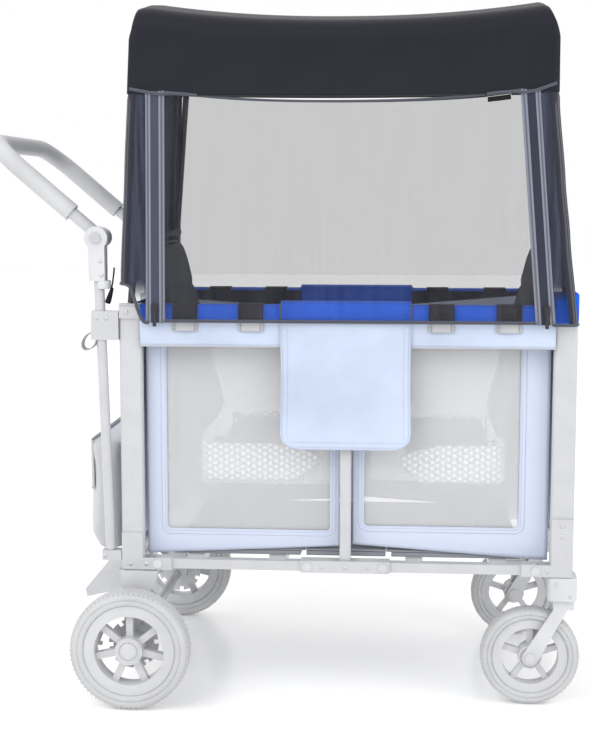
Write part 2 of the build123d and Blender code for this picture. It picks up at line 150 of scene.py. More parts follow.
def bumpFrom(tree, height, shader, strength, distance):
    bump = addNode(tree, "ShaderNodeBump")
    bump.inputs["Strength"].default_value = strength
    bump.inputs["Distance"].default_value = distance
    joinTo(tree, height, bump.inputs["Height"])
    joinTo(tree, bump.outputs["Normal"], shader.inputs["Normal"])
    return bump


def mixColours(tree, factor, first, second):
    mix = addNode(tree, "ShaderNodeMix", data_type="RGBA")
    joinTo(tree, factor, mix.inputs["Factor"])
    mix.inputs["A"].default_value = (*first, 1)
    mix.inputs["B"].default_value = (*second, 1)
    return mix.outputs["Result"]


def ramp(tree, value, lowEnd, highEnd):
    spread = addNode(tree, "ShaderNodeMapRange")
    spread.inputs["From Min"].default_value = lowEnd
    spread.inputs["From Max"].default_value = highEnd
    joinTo(tree, value, spread.inputs["Value"])
    return spread.outputs["Result"]


def calc(tree, operation, first, second):
    node = addNode(tree, "ShaderNodeMath", operation=operation)
    for socket, value in zip(node.inputs, (first, second)):
        if isinstance(value, (int, float)):
            socket.default_value = value
        else:
            joinTo(tree, value, socket)
    return node.outputs[0]


def stripes(tree, space, direction, pitch,
        warp=0.0):  # sine stripes of that pitch in metres, 0 to 1
    wave = addNode(tree, "ShaderNodeTexWave", wave_type="BANDS", bands_direction=direction)
    wave.inputs["Scale"].default_value = 0.314159 / pitch
    wave.inputs["Distortion"].default_value = warp
    wave.inputs["Detail"].default_value = 0
    joinTo(tree, space, wave.inputs["Vector"])
    return wave.outputs["Fac"]


# woven cloth: crossed threads, slow colour drift and soft creases
def clothMaterial(name, colour, pitch=0.0011, shade=0.75, rough=0.82, sheen=0.35, bump=0.35,
        blotch=0.08):
    mat, tree, shader = nodeMaterial(name)
    space = addNode(tree, "ShaderNodeTexCoord").outputs["Object"]
    across = stripes(tree, space, "DIAGONAL", pitch)
    upright = stripes(tree, space, "Z", pitch)
    weave = calc(tree, "MULTIPLY", across, upright)
    drift = addNode(tree, "ShaderNodeTexNoise", Scale=7.0, Detail=4.0, Roughness=0.55)
    joinTo(tree, space, drift.inputs["Vector"])
    creases = addNode(tree, "ShaderNodeTexNoise", Scale=22.0, Detail=2.0)
    joinTo(tree, space, creases.inputs["Vector"])
    mixed = calc(tree, "ADD", calc(tree, "MULTIPLY", weave, 0.5),
                 calc(tree, "MULTIPLY", drift.outputs["Fac"], blotch * 6))
    dark = tuple(c * shade for c in colour)
    colours = mixColours(tree, ramp(tree, mixed, 0.05, 0.75), dark, colour)
    joinTo(tree, colours, shader.inputs["Base Color"])
    shader.inputs["Roughness"].default_value = rough
    shader.inputs["Sheen Weight"].default_value = sheen
    shader.inputs["Sheen Roughness"].default_value = 0.45
    shader.inputs["Specular IOR Level"].default_value = 0.3
    height = calc(tree, "ADD", calc(tree, "MULTIPLY", weave, 0.3),
            calc(tree, "MULTIPLY", creases.outputs["Fac"], 1.4))
    bumpFrom(tree, height, shader, bump, 0.0012)
    return mat


def ribbedMaterial(name, colour, pitch, rough=0.62):  # smooth canopy cloth with fine upright ribs
    mat, tree, shader = nodeMaterial(name)
    space = addNode(tree, "ShaderNodeTexCoord").outputs["Object"]
    ribs = stripes(tree, space, "X", pitch, 0.4)
    drift = addNode(tree, "ShaderNodeTexNoise", Scale=5.0, Detail=3.0)
    joinTo(tree, space, drift.inputs["Vector"])
    streaks = addNode(tree, "ShaderNodeTexNoise", Scale=1.0, Detail=3.0)
    stretch = addNode(tree, "ShaderNodeMapping")
    stretch.inputs["Scale"].default_value = (90, 90, 5)
    joinTo(tree, space, stretch.inputs["Vector"])
    joinTo(tree, stretch.outputs["Vector"], streaks.inputs["Vector"])
    mixed = calc(tree, "ADD", calc(tree, "MULTIPLY", ribs, 0.2),
            calc(tree, "MULTIPLY", drift.outputs["Fac"], 0.5))
    mixed = calc(tree, "ADD", mixed, calc(tree, "MULTIPLY", streaks.outputs["Fac"], 0.3))
    dark = tuple(c * 0.72 for c in colour)
    joinTo(tree, mixColours(tree, ramp(tree, mixed, 0.25, 0.75), dark, colour),
            shader.inputs["Base Color"])
    shader.inputs["Roughness"].default_value = rough
    shader.inputs["Sheen Weight"].default_value = 0.10
    shader.inputs["Sheen Roughness"].default_value = 0.4
    shader.inputs["Specular IOR Level"].default_value = 0.25
    height = calc(tree, "ADD", calc(tree, "MULTIPLY", ribs, 0.25), streaks.outputs["Fac"])
    bumpFrom(tree, height, shader, 0.3, 0.0012)
    return mat


# fine net: threads cover that share of the surface, and it opens up below a level
def netMaterial(name, colour, cover, pitch=0.0016, ribs=0.0, streak=1.0, weave=0.5, opens=None):
    mat, tree, shader = nodeMaterial(name)
    space = addNode(tree, "ShaderNodeTexCoord").outputs["Object"]
    threads = calc(tree, "MAXIMUM", stripes(tree, space, "DIAGONAL", pitch),
            stripes(tree, space, "Z", pitch))
    bands = addNode(tree, "ShaderNodeTexNoise", Scale=1.0, Detail=2.0)
    stretch = addNode(tree, "ShaderNodeMapping")
    stretch.inputs["Scale"].default_value = (120, 120, 4)
    joinTo(tree, space, stretch.inputs["Vector"])
    joinTo(tree, stretch.outputs["Vector"], bands.inputs["Vector"])
    wave = calc(tree, "SUBTRACT", bands.outputs["Fac"], 0.5)
    alpha = calc(tree, "ADD", calc(tree, "MULTIPLY", threads, cover * weave),
            cover * (1.0 - 0.56 * weave))
    alpha = calc(tree, "ADD", alpha, calc(tree, "MULTIPLY", wave, ribs))
    if opens:
        apart = addNode(tree, "ShaderNodeSeparateXYZ")
        joinTo(tree, space, apart.inputs[0])
        rise = ramp(tree, apart.outputs["Z"], opens[0], opens[1])
        alpha = calc(tree, "MULTIPLY", alpha,
                calc(tree, "ADD", calc(tree, "MULTIPLY", rise, 1 - opens[2]), opens[2]))
    joinTo(tree, alpha, shader.inputs["Alpha"])
    light = tuple(min(1, c * (1 + 0.9 * streak) + 0.01 * streak) for c in colour)
    joinTo(tree, mixColours(tree, ramp(tree, bands.outputs["Fac"], 0.35, 0.7), colour, light),
            shader.inputs["Base Color"])
    shader.inputs["Roughness"].default_value = 0.7
    shader.inputs["Specular IOR Level"].default_value = 0.25
    bumpFrom(tree, threads, shader, 0.25, 0.0006)
    return mat


# moulded plastic with a fine grain and slightly worn tone
def plasticMaterial(name, colour, rough=0.45, grain=900, bump=0.08):
    mat, tree, shader = nodeMaterial(name)
    space = addNode(tree, "ShaderNodeTexCoord").outputs["Object"]
    fine = addNode(tree, "ShaderNodeTexNoise", Scale=float(grain), Detail=2.0)
    joinTo(tree, space, fine.inputs["Vector"])
    slow = addNode(tree, "ShaderNodeTexNoise", Scale=14.0, Detail=3.0)
    joinTo(tree, space, slow.inputs["Vector"])
    dark = tuple(c * 0.9 for c in colour)
    joinTo(tree, mixColours(tree, ramp(tree, slow.outputs["Fac"], 0.35, 0.65), dark, colour),
            shader.inputs["Base Color"])
    joinTo(tree, ramp(tree, slow.outputs["Fac"], -1.6, 1.8 / max(rough, 0.1)),
            shader.inputs["Roughness"])
    bumpFrom(tree, fine.outputs["Fac"], shader, bump, 0.0004)
    return mat


# painted or bare metal tube with faint draw lines
def metalMaterial(name, colour, rough=0.3, metallic=0.0, coat=0.3):
    mat, tree, shader = nodeMaterial(name)
    space = addNode(tree, "ShaderNodeTexCoord").outputs["Object"]
    slow = addNode(tree, "ShaderNodeTexNoise", Scale=30.0, Detail=4.0)
    joinTo(tree, space, slow.inputs["Vector"])
    dark = tuple(c * 0.93 for c in colour)
    joinTo(tree, mixColours(tree, ramp(tree, slow.outputs["Fac"], 0.3, 0.7), dark, colour),
            shader.inputs["Base Color"])
    shader.inputs["Metallic"].default_value = metallic
    shader.inputs["Roughness"].default_value = rough
    shader.inputs["Coat Weight"].default_value = coat
    shader.inputs["Coat Roughness"].default_value = 0.25
    bumpFrom(tree, slow.outputs["Fac"], shader, 0.05, 0.0005)
    return mat


def webbingMaterial(name, colour, pitch=0.0026):  # flat woven strap with cross ribs
    mat, tree, shader = nodeMaterial(name)
    space = addNode(tree, "ShaderNodeTexCoord").outputs["Object"]
    ribs = stripes(tree, space, "DIAGONAL", pitch)
    cross = stripes(tree, space, "Z", pitch * 0.8)
    weave = calc(tree, "MULTIPLY", ribs, cross)
    dark = tuple(c * 0.6 for c in colour)
    joinTo(tree, mixColours(tree, weave, dark, colour), shader.inputs["Base Color"])
    shader.inputs["Roughness"].default_value = 0.75
    shader.inputs["Sheen Weight"].default_value = 0.3
    bumpFrom(tree, weave, shader, 0.5, 0.0006)
    return mat


# bright six-sided lattice printed on grey cloth, out of three sets of stripes at 60 degrees; the lines, and faintly the
# cells, also glow as painted light
def honeycombMaterial(name, base, line, glow, pitch):
    mat, tree, shader = nodeMaterial(name)
    space = addNode(tree, "ShaderNodeTexCoord").outputs["Object"]
    total = None
    for number in range(3):
        turned = addNode(tree, "ShaderNodeMapping")
        turned.inputs["Rotation"].default_value = (0, math.radians(60 * number), 0)
        joinTo(tree, space, turned.inputs["Vector"])
        wave = stripes(tree, turned.outputs["Vector"], "X", pitch)
        total = wave if total is None else calc(tree, "ADD", total, wave)
    inside = ramp(tree, total, 1.02, 1.50)
    joinTo(tree, mixColours(tree, inside, line, base), shader.inputs["Base Color"])
    # painted light: the lattice lines glow white and the cells glow faintly, though the cloth is no lamp
    joinTo(tree, mixColours(tree, inside, (1, 1, 1), (0.2, 0.2, 0.2)),
            shader.inputs["Emission Color"])
    shader.inputs["Emission Strength"].default_value = glow
    shader.inputs["Roughness"].default_value = 0.8
    shader.inputs["Sheen Weight"].default_value = 0.2
    bumpFrom(tree, inside, shader, 0.2, 0.001)
    return mat


colours = {
    "tube": (0.55, 0.555, 0.575), "moulding": (0.63, 0.635, 0.655), "tyre": (0.56, 0.565, 0.575),
    "rim": (0.60, 0.605, 0.62), "grip": (0.56, 0.565, 0.58), "steel": (0.62, 0.63, 0.65),
    # the panel tone is a slightly lighter copy of the pale cloth: painted light against the shade low on the side
    # panels
    "paleCloth": (0.60, 0.68, 0.85), "panelClothLitCopy": (0.63, 0.69, 0.84),
    "paleNet": (0.765, 0.77, 0.785),
    "paleTrim": (0.55, 0.56, 0.60), "royalBlue": (0.008, 0.135, 0.88),
    "black": (0.012, 0.012, 0.016),
    "navy": (0.0085, 0.0085, 0.0175), "slate": (0.020, 0.023, 0.040), "piping": (0.085, 0.09, 0.12),
    "zipGrey": (0.30, 0.32, 0.40), "seat": (0.014, 0.014, 0.022), "bag": (0.60, 0.605, 0.62),
    "floorMat": (0.30, 0.315, 0.35),
}
finish = {
    "tube": metalMaterial("paintedTube", colours["tube"]),
    "bracket": metalMaterial("paintedBracket", colours["tube"], 0.38),
    "steel": metalMaterial("zincSteel", colours["steel"], 0.28, 0.9, 0.0),
    "moulding": plasticMaterial("mouldedPlastic", colours["moulding"]),
    "rim": plasticMaterial("rimPlastic", colours["rim"], 0.4),
    "tyre": plasticMaterial("tyreRubber", colours["tyre"], 0.75, 500, 0.2),
    "grip": plasticMaterial("gripFoam", colours["grip"], 0.8, 700, 0.35),
    "button": plasticMaterial("buttonPlastic", (0.5, 0.51, 0.53), 0.4),
    "hoop": metalMaterial("hoopRod", (0.03, 0.03, 0.035), 0.35),
    # side panels take the lighter copy of the pale cloth, as painted light
    "paleCloth": clothMaterial("paleCloth", colours["panelClothLitCopy"], shade=0.9),
    "blueCloth": clothMaterial("blueCloth", colours["royalBlue"], shade=0.7),
    "seatCloth": clothMaterial("seatCloth", colours["seat"], shade=0.7, bump=0.5),
    "bagCloth": clothMaterial("bagCloth", colours["bag"], shade=0.9),
    "floorCloth": clothMaterial("floorCloth", colours["floorMat"], shade=0.85),
    "canopyCloth": ribbedMaterial("canopyCloth", colours["navy"], 0.0045),
    "canopyNet": netMaterial("canopyNet", colours["slate"], 0.86, 0.0016, 0.50,
    opens=(0.712, 0.745, 0.16)),
    "doorNet": netMaterial("doorNet", (0.05, 0.052, 0.065), 0.13, 0.0016),
    "windowNet": netMaterial("windowNet", colours["paleNet"], 0.47, 0.0010, 0.0, 0.0, 0.3),
    "webbing": webbingMaterial("blackWebbing", colours["black"]),
    "paleWebbing": webbingMaterial("paleWebbing", (0.55, 0.56, 0.58)),
    "piping": clothMaterial("greyPiping", colours["piping"], 0.0009, 0.7),
    "darkPiping": clothMaterial("darkPiping", (0.02, 0.021, 0.03), 0.0009, 0.7),
    "paleTrim": clothMaterial("paleTrim", colours["paleTrim"], 0.0009, 0.8),
    "zipTape": webbingMaterial("zipTape", colours["zipGrey"], 0.0018),
    "stripCloth": clothMaterial("stripCloth", (0.060, 0.068, 0.105), 0.0009, 0.7),
    "darkStrip": clothMaterial("darkStripCloth", (0.030, 0.034, 0.058), 0.0009, 0.7),
    "seamBand": clothMaterial("seamBand", (0.022, 0.023, 0.038), 0.0009, 0.7),
    "zipTeeth": plasticMaterial("zipTeeth", (0.10, 0.10, 0.125), 0.35),
    "slider": plasticMaterial("zipSlider", (0.020, 0.020, 0.028), 0.35),
    # bench-side print with a painted glow
    "honeycomb": honeycombMaterial("honeycombPrintWithPaintedGlow", (0.60, 0.605, 0.62), (0.97, 0.97, 0.97), 0.50,
    0.0098),
    "label": clothMaterial("plainLabel", (0.006, 0.006, 0.008), 0.0008, sheen=0.02),
    # near-black cloth for the sheets inside the upper rails
    "innerRailSheet": clothMaterial("nearBlackRailSheet", (0.012, 0.013, 0.022), 0.0011, 0.7, sheen=0.05),
    "labelEdge": clothMaterial("labelEdge", (0.55, 0.55, 0.56), 0.0008),
}
print("materials done")


def finishPiece(obj, body, material, slotName, smooth=True):
    obj.data.materials.clear()
    obj.data.materials.append(finish[material])
    for face in obj.data.polygons:
        face.use_smooth = smooth
    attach(obj, body)
    return obj


def meshPiece(name, points, faces):
    mesh = bpy.data.meshes.new(name)
    mesh.from_pydata([tuple(p) for p in points], [], faces)
    bm = bmesh.new()
    bm.from_mesh(mesh)
    bmesh.ops.remove_doubles(bm, verts=bm.verts, dist=1e-6)
    bmesh.ops.recalc_face_normals(bm, faces=bm.faces)
    bm.to_mesh(mesh)
    obj = bpy.data.objects.new(name, mesh)
    bpy.context.collection.objects.link(obj)
    return obj


def applyAll(obj):  # bakes the live modifiers into the mesh
    bpy.context.view_layer.update()
    graph = bpy.context.evaluated_depsgraph_get()
    mesh = bpy.data.meshes.new_from_object(obj.evaluated_get(graph))
    obj.modifiers.clear()
    obj.data = mesh
    return obj


# cloth from surface(u, v), both 0 to 1, given a thickness
def sheetGrid(name, surface, columns, rows, thick=0.0016):
    points, faces = [], []
    for j in range(rows + 1):
        for i in range(columns + 1):
            points.append(surface(i / columns, j / rows))
    wide = columns + 1
    for j in range(rows):
        for i in range(columns):
            a = j * wide + i
            faces.append((a, a + 1, a + 1 + wide, a + wide))
    obj = meshPiece(name, points, faces)
    solid = obj.modifiers.new("thickness", "SOLIDIFY")
    solid.thickness = thick
    solid.offset = 0
    return applyAll(obj)


def tubePiece(name, points, radius, closed=False, order=4, resolution=8,
        sides=2):  # round piping along smooth points
    curve = bpy.data.curves.new(name, "CURVE")
    curve.dimensions = "3D"
    spline = curve.splines.new("NURBS")
    spline.points.add(len(points) - 1)
    for point, place in zip(spline.points, points):
        point.co = (*place, 1)
    spline.order_u = min(order, len(points))
    spline.use_endpoint_u = not closed
    spline.use_cyclic_u = closed
    spline.resolution_u = resolution
    curve.bevel_depth = radius
    curve.bevel_resolution = sides
    curve.use_fill_caps = not closed
    holder = bpy.data.objects.new(name + "Line", curve)
    bpy.context.collection.objects.link(holder)
    bpy.context.view_layer.update()
    mesh = bpy.data.meshes.new_from_object(holder.evaluated_get(bpy.context.evaluated_depsgraph_get()))
    bpy.data.objects.remove(holder)
    obj = bpy.data.objects.new(name, mesh)
    bpy.context.collection.objects.link(obj)
    return obj


def roundedBlock(name, lowCorner, highCorner, bevel,
        segments=3):  # a moulded block between two corners
    bm = bmesh.new()
    bmesh.ops.create_cube(bm, size=1)
    a, b = Vector(lowCorner), Vector(highCorner)
    for vert in bm.verts:
        vert.co = Vector([(a[k] + b[k]) / 2 + vert.co[k] * (b[k] - a[k]) for k in range(3)])
    bmesh.ops.bevel(bm, geom=bm.edges[:], offset=bevel, segments=segments, affect="EDGES",
            profile=0.5)
    mesh = bpy.data.meshes.new(name)
    bm.to_mesh(mesh)
    obj = bpy.data.objects.new(name, mesh)
    bpy.context.collection.objects.link(obj)
    return obj


# turned shape: profile is (radius, distance along the axis), closed at both ends
def lathePiece(name, centre, profile, axis="Y", segments=64):
    points, faces = [], []
    count = len(profile)
    for k in range(segments):
        turn = 2 * math.pi * k / segments
        for radius, along in profile:
            if axis == "Y":
                offset = Vector((radius * math.cos(turn), along, radius * math.sin(turn)))
            else:
                offset = Vector((radius * math.cos(turn), radius * math.sin(turn), along))
            points.append(Vector(centre) + offset)
    for k in range(segments):
        following = (k + 1) % segments
        for n in range(count - 1):
            faces.append((k * count + n, k * count + n + 1, following * count + n + 1,
                    following * count + n))
    return meshPiece(name, points, faces)


def declareSheet(obj):  # reads the piece's size and its longest side, and keeps neither
    size = obj.dimensions
    longest = max(size)


canopy = {
    "hemZ": low("canopy_side_doors").z, "doorTopZ": high("canopy_side_doors").z,
    "roofHemZ": low("canopy_roof").z, "topZ": high("canopy_roof").z,
    "halfWidth": high("canopy_end_walls").y,
    "sag": 0.022, "hoopX": 0.335, "shoulderDrop": 0.030, "cornerRadius": 0.018, "hemLift": 0.066,
}
middleX = hingeX
wallProfile = {"rear": ((0.672, 0.393), (0.745, 0.389), (0.930, 0.381), (1.080, 0.374),
        (1.150, 0.371), (1.231, 0.345)),
               "front": ((0.672, 0.393), (0.815, 0.377), (0.915, 0.367), (1.045, 0.355),
               (1.150, 0.355), (1.231, 0.333))}
roofReach = {"rear": 0.352,
        "front": 0.329}                              # where the roof's top turns down at each end
zipEdges = {"right": {"rear": (0.338, 0.337),
        "front": (0.349, 0.318)},  # outer edge of the zip strip, low and high
            "left": {"rear": (0.381, 0.372), "front": (0.374, 0.347)}}
sideLift = {"right": 0.0,
        "left": 0.030}                                 # the left side opens a little higher
zipStrip = {"right": 0.0235,
        "left": 0.0105}                             # width of the strip between the two zips
braceRise = {"rear": 0.010,
        "front": 0.016}                              # corner piping rises this much past the hem


def smoothBetween(table, value):
    # soft interpolation through a short list of (position, size)
    if value <= table[0][0]:
        return table[0][1]
    for (a, first), (b, second) in zip(table, table[1:]):
        if value <= b:
            share = (value - a) / (b - a)
            share = share * 0.6 + 0.4 * share * share * (3 - 2 * share)
            return first + (second - first) * share
    return table[-1][1]


def wallHalfX(end, z):
    return smoothBetween(wallProfile[end], z)


def wallHalfY(z):
    share = (z - canopy["hemZ"]) / (canopy["topZ"] - canopy["hemZ"])
    return canopy["halfWidth"] - 0.015 * share


def roofTopZ(x, y):
    # crowned across, dipping between the hoops, with a soft roll at each end
    share = min(1.0, abs(x - middleX) / canopy["hoopX"])
    crown = 0.024 * (abs(y) / 0.21) ** 2
    return canopy["topZ"] - 0.0015 - crown - canopy["sag"] * (1 - share ** 2.2)


def roofSheet(u, v):
    # v runs from one lower edge over the top to the other, u along the wagon
    along = 2 * u - 1
    end = "rear" if along < 0 else "front"
    endShare = abs(along)
    topX = roofReach[end] * min(1.0, endShare / 0.94)
    side = -1 if v < 0.5 else 1
    path = abs(2 * v - 1)
    halfWidth = wallHalfY(1.1)
    topZ = roofTopZ(middleX + ends[end] * topX, 0.205)
    wallTop = topZ - 0.036
    lip = max(0.0, endShare - 0.94) / 0.06                                # the hem that turns down over the hoop
    hem = canopy["roofHemZ"] - 0.004 + 0.006 * endShare ** 2 + (sideLift["left"] if side > 0 else 0)
    if path > 0.55:
        share = (path - 0.55) / 0.45
        z = wallTop + (hem - wallTop) * share
        y = halfWidth - 0.003 + 0.004 * share - 0.004 * math.sin(math.pi * share) * (1 - endShare ** 2)
        y += 0.0010 * math.sin(along * 17 + share * 3) * math.sin(math.pi * share)
        reach = wallHalfX(end, z) - 0.002
        x = reach * min(1.0, endShare / 0.97)
        y -= 0.016 * max(0.0, (endShare - 0.955) / 0.045) ** 2
    else:
        if path > 0.40:
            turn = (path - 0.40) / 0.15 * math.pi / 2
            y = halfWidth - 0.045 + 0.042 * math.sin(turn)
            z = wallTop + (topZ - wallTop) * math.cos(turn)
        else:
            y = path / 0.40 * (halfWidth - 0.045)
            z = roofTopZ(middleX + ends[end] * topX, y)
        drape = (path - 0.40) / 0.15 if path > 0.40 else 0.0
        reach = roofReach[end] + (wallHalfX(end, wallTop) - 0.002 - roofReach[end]) * drape ** 1.5
        x = reach * min(1.0, endShare / 0.94) + 0.010 * math.sin(lip * math.pi / 2) * (1 - drape)
        z -= canopy["shoulderDrop"] * (1 - math.cos(lip * math.pi / 2)) * (1 - drape)
        y -= 0.010 * lip ** 2 * drape
    return Vector((middleX + ends[end] * x, side * y, z))


def endSheet(end):
    # end wall with corner returns up to the zips; u round the corner, v up
    radius, hemZ, roofHem = canopy["cornerRadius"], canopy["hemZ"], canopy["roofHemZ"]

    def surface(u, v):
        side = "right" if u < 0.5 else "left"
        path = abs(2 * u - 1)
        crossY = min(path, 0.6) / 0.60 * (wallHalfY(1.1) - radius)
        turned = min(1.0, max(0.0, (path - 0.45) / 0.25))
        shoulder = roofTopZ(middleX + ends[end] * roofReach[end],
                crossY) - 0.009 - 0.036 * turned ** 2.2
        hem = hemZ
        if end == "rear":
            lift = canopy["hemLift"]
            hem += lift if path < 0.66 else lift * (0.5 + 0.5 * math.cos(math.pi * min(1.0,
                    (path - 0.66) / 0.30)))
        z = hem + v * (shoulder - hem)
        halfX, halfY = wallHalfX(end, z), wallHalfY(z)
        edge = zipX(end, side, min(z, roofHem))
        if path > 0.70:
            share = (path - 0.70) / 0.30
            x = (halfX - radius) + (edge - (halfX - radius)) * share
            y = halfY + 0.0012 * math.sin(share * math.pi)
        elif path > 0.60:
            turn = (path - 0.60) / 0.10 * math.pi / 2
            x = halfX - radius + radius * math.cos(turn)
            y = halfY - radius + radius * math.sin(turn)
        else:
            y = path / 0.60 * (halfY - radius)
            x = halfX - 0.006 * math.sin(math.pi * v) * math.cos(path / 0.6 * math.pi / 2)
        tuck = min(1.0, max(0.0, (z - roofHem + 0.004 - sideLift[side]) / 0.022))
        x -= 0.0055 * tuck
        y -= 0.0055 * tuck * min(1.0, path / 0.60)
        return Vector((middleX + ends[end] * x, sides[side] * y, z))
    return surface


def zipX(end, side, z):
    zipLow, zipHigh = zipEdges[side][end]
    return zipLow + (zipHigh - zipLow) * (z - canopy["hemZ"]) / (canopy["roofHemZ"] - canopy["hemZ"])


def doorSheet(side):
    def surface(u, v):
        z = canopy["hemZ"] + 0.003 + v * (canopy["doorTopZ"] + sideLift[side] - 0.002 - canopy["hemZ"])
        z += v * (0.012 * (abs(2 * u - 1)) ** 3 - 0.006 * math.sin(math.pi * u))
        rear = -(zipX("rear", side, z) - zipStrip[side])
        front = zipX("front", side, z) - zipStrip[side]
        x = rear + (front - rear) * u
        y = wallHalfY(z) - 0.001 + 0.004 * math.sin(math.pi * u) * math.sin(math.pi * v)
        y += 0.0012 * math.sin(x * 40 + z * 26) * math.sin(math.pi * v)
        return Vector((middleX + x, sides[side] * y, z))
    return surface


def stripSheet(end, side):
    def surface(u, v):
        z = canopy["hemZ"] + v * (canopy["roofHemZ"] + sideLift[side] - canopy["hemZ"] + 0.006)
        x = zipX(end, side, z) - zipStrip[side] * u
        y = wallHalfY(z) + 0.0005 + 0.0015 * math.sin(math.pi * u)
        return Vector((middleX + ends[end] * x, sides[side] * y, z))
    return surface


def pathOf(surface, along, fixed, count=24):
    points = []
    for k in range(count + 1):
        share = k / count
        point = surface(share, fixed) if along == "u" else surface(fixed, share)
        points.append(point)
    return points


def flattenCanopy(piece):
    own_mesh(piece)


def canopyPiece(obj, material, slotName, node=None, body="rear_frame"):
    finishPiece(obj, body, material, slotName)
    if node:
        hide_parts(node)
    flattenCanopy(obj)
    return obj


def makeCanopy():
    roof = sheetGrid("canopyRoof", roofSheet, 88, 96, 0.0018)
    canopyPiece(roof, "canopyCloth", "canopy_cloth", "canopy_roof")
    declareSheet(roof)
    for end in ends:
        surface = endSheet(end)
        wall = sheetGrid(end + "CanopyWall", surface, 90, 52, 0.0012)
        canopyPiece(wall, "canopyNet", "canopy_mesh", "canopy_end_walls")
        declareSheet(wall)
        for side, edge in (("right", 0.168), ("left", 0.832)):
            seam = tubePiece(f"{end}{side.title()}CornerPiping", pathOf(surface, "v", edge)[:22],
                    0.0024)
            canopyPiece(seam, "piping", "canopy_cloth")
            band = sheetGrid(f"{end}{side.title()}CornerBand", lambda u, v, s=surface, e=edge,
                    w=sides[side]: s(
                e + (u - 0.5) * 0.030, v * 0.90) + Vector((0, w * 0.0014, 0)), 4, 40, 0.0010)
            canopyPiece(band, "seamBand", "canopy_cloth")
        hem = tubePiece(end + "WallHemPiping", pathOf(surface, "u", 0.0, 90), 0.0030)
        canopyPiece(hem, "piping", "canopy_cloth")
        for side in sides:
            edgeSurface = stripSheet(end, side)
            strip = sheetGrid(f"{end}{side.title()}ZipStrip", edgeSurface, 8, 40, 0.0012)
            canopyPiece(strip, "stripCloth" if end == "rear" else "darkStrip", "canopy_mesh")
            declareSheet(strip)
            for number, place in enumerate((0.0, 1.0)):
                makeZip(f"{end}{side.title()}Zip{number}", edgeSurface, place, side)
    for side, sign in sides.items():
        surface = doorSheet(side)
        door = sheetGrid(side + "CanopyDoor", surface, 60, 36, 0.0008)
        canopyPiece(door, "doorNet", "canopy_mesh", "canopy_side_doors")
        declareSheet(door)
        for name, v, radius in (("Top", 1.0, 0.0022), ("Hem", 0.0, 0.0030)):
            edge = tubePiece(f"{side}Door{name}Piping", pathOf(surface, "u", v, 30), radius)
            canopyPiece(edge, "piping", "canopy_cloth")
        hem = tubePiece(side + "RoofHemPiping",
                pathOf(roofSheet, "u", 0.0 if sign < 0 else 1.0, 60), 0.0016)
        canopyPiece(hem, "darkPiping", "canopy_cloth")
        for end in ends:
            cornerZ = canopy["roofHemZ"] + sideLift[side] + braceRise[end]
            cornerX = wallHalfX(end, cornerZ) - 0.006
            brace = [Vector((middleX + ends[end] * cornerX, sign * (wallHalfY(cornerZ) - 0.002),
                    cornerZ)),
                     stripSheet(end, side)(0.0, 0.995), stripSheet(end, side)(1.0, 0.985),
                     surface(0.03 if end == "rear" else 0.97, 1.0),
                     surface(0.10 if end == "rear" else 0.90, 1.0)]
            brace = [p + Vector((0, sign * 0.0030, 0)) for p in brace]
            join = tubePiece(f"{end}{side.title()}HemBrace", brace, 0.0026, order=3)
            canopyPiece(join, "piping", "canopy_cloth")


def toothTree(name, spacing, size,
        material):  # a tooth on every step of a line, as a node tree with named sizes
    tree = bpy.data.node_groups.new(name, "GeometryNodeTree")
    tree.interface.new_socket("Geometry", in_out="INPUT", socket_type="NodeSocketGeometry")
    gap = tree.interface.new_socket("Spacing", in_out="INPUT", socket_type="NodeSocketFloat")
    gap.default_value = spacing
    extent = tree.interface.new_socket("Tooth Size", in_out="INPUT", socket_type="NodeSocketVector")
    extent.default_value = size
    tree.interface.new_socket("Geometry", in_out="OUTPUT", socket_type="NodeSocketGeometry")
    start, stop = tree.nodes.new("NodeGroupInput"), tree.nodes.new("NodeGroupOutput")
    toPoints = tree.nodes.new("GeometryNodeCurveToPoints")
    toPoints.mode = "LENGTH"
    tooth = tree.nodes.new("GeometryNodeMeshCube")
    place = tree.nodes.new("GeometryNodeInstanceOnPoints")
    real = tree.nodes.new("GeometryNodeRealizeInstances")
    paint = tree.nodes.new("GeometryNodeSetMaterial")
    paint.inputs["Material"].default_value = material
    link = tree.links.new
    link(start.outputs["Geometry"], toPoints.inputs["Curve"])
    link(start.outputs["Spacing"], toPoints.inputs["Length"])
    link(start.outputs["Tooth Size"], tooth.inputs["Size"])
    link(toPoints.outputs["Points"], place.inputs["Points"])
    link(toPoints.outputs["Rotation"], place.inputs["Rotation"])
    link(tooth.outputs["Mesh"], place.inputs["Instance"])
    link(place.outputs["Instances"], real.inputs["Geometry"])
    link(real.outputs["Geometry"], paint.inputs["Geometry"])
    link(paint.outputs["Geometry"], stop.inputs["Geometry"])
    return tree, {"Spacing": gap.identifier, "Tooth Size": extent.identifier}


# runs a tree along points and returns the plain mesh piece
def alongLine(name, points, tree, sockets, spacing, size):
    curve = bpy.data.curves.new(name, "CURVE")
    curve.dimensions = "3D"
    spline = curve.splines.new("POLY")
    spline.points.add(len(points) - 1)
    for point, place in zip(spline.points, points):
        point.co = (*place, 1)
    holder = bpy.data.objects.new(name + "Line", curve)
    bpy.context.collection.objects.link(holder)
    modifier = holder.modifiers.new("nodes", "NODES")
    modifier.node_group = tree
    modifier[sockets["Spacing"]] = spacing
    modifier[sockets["Tooth Size"]] = size
    bpy.context.view_layer.update()
    mesh = bpy.data.meshes.new_from_object(holder.evaluated_get(bpy.context.evaluated_depsgraph_get()))
    bpy.data.objects.remove(holder)
    obj = bpy.data.objects.new(name, mesh)
    bpy.context.collection.objects.link(obj)
    return obj


zipParts = {"tape": 0.0095, "toothGap": 0.0034, "tooth": (0.0026, 0.0012, 0.0020)}
teethTree, teethSockets = toothTree("zipTeeth", 0.0034, (0.0032, 0.0016, 0.0020),
        finish["zipTeeth"])
stitchTree, stitchSockets = toothTree("stitches", 0.0050, (0.0007, 0.0007, 0.0030),
        finish["paleTrim"])


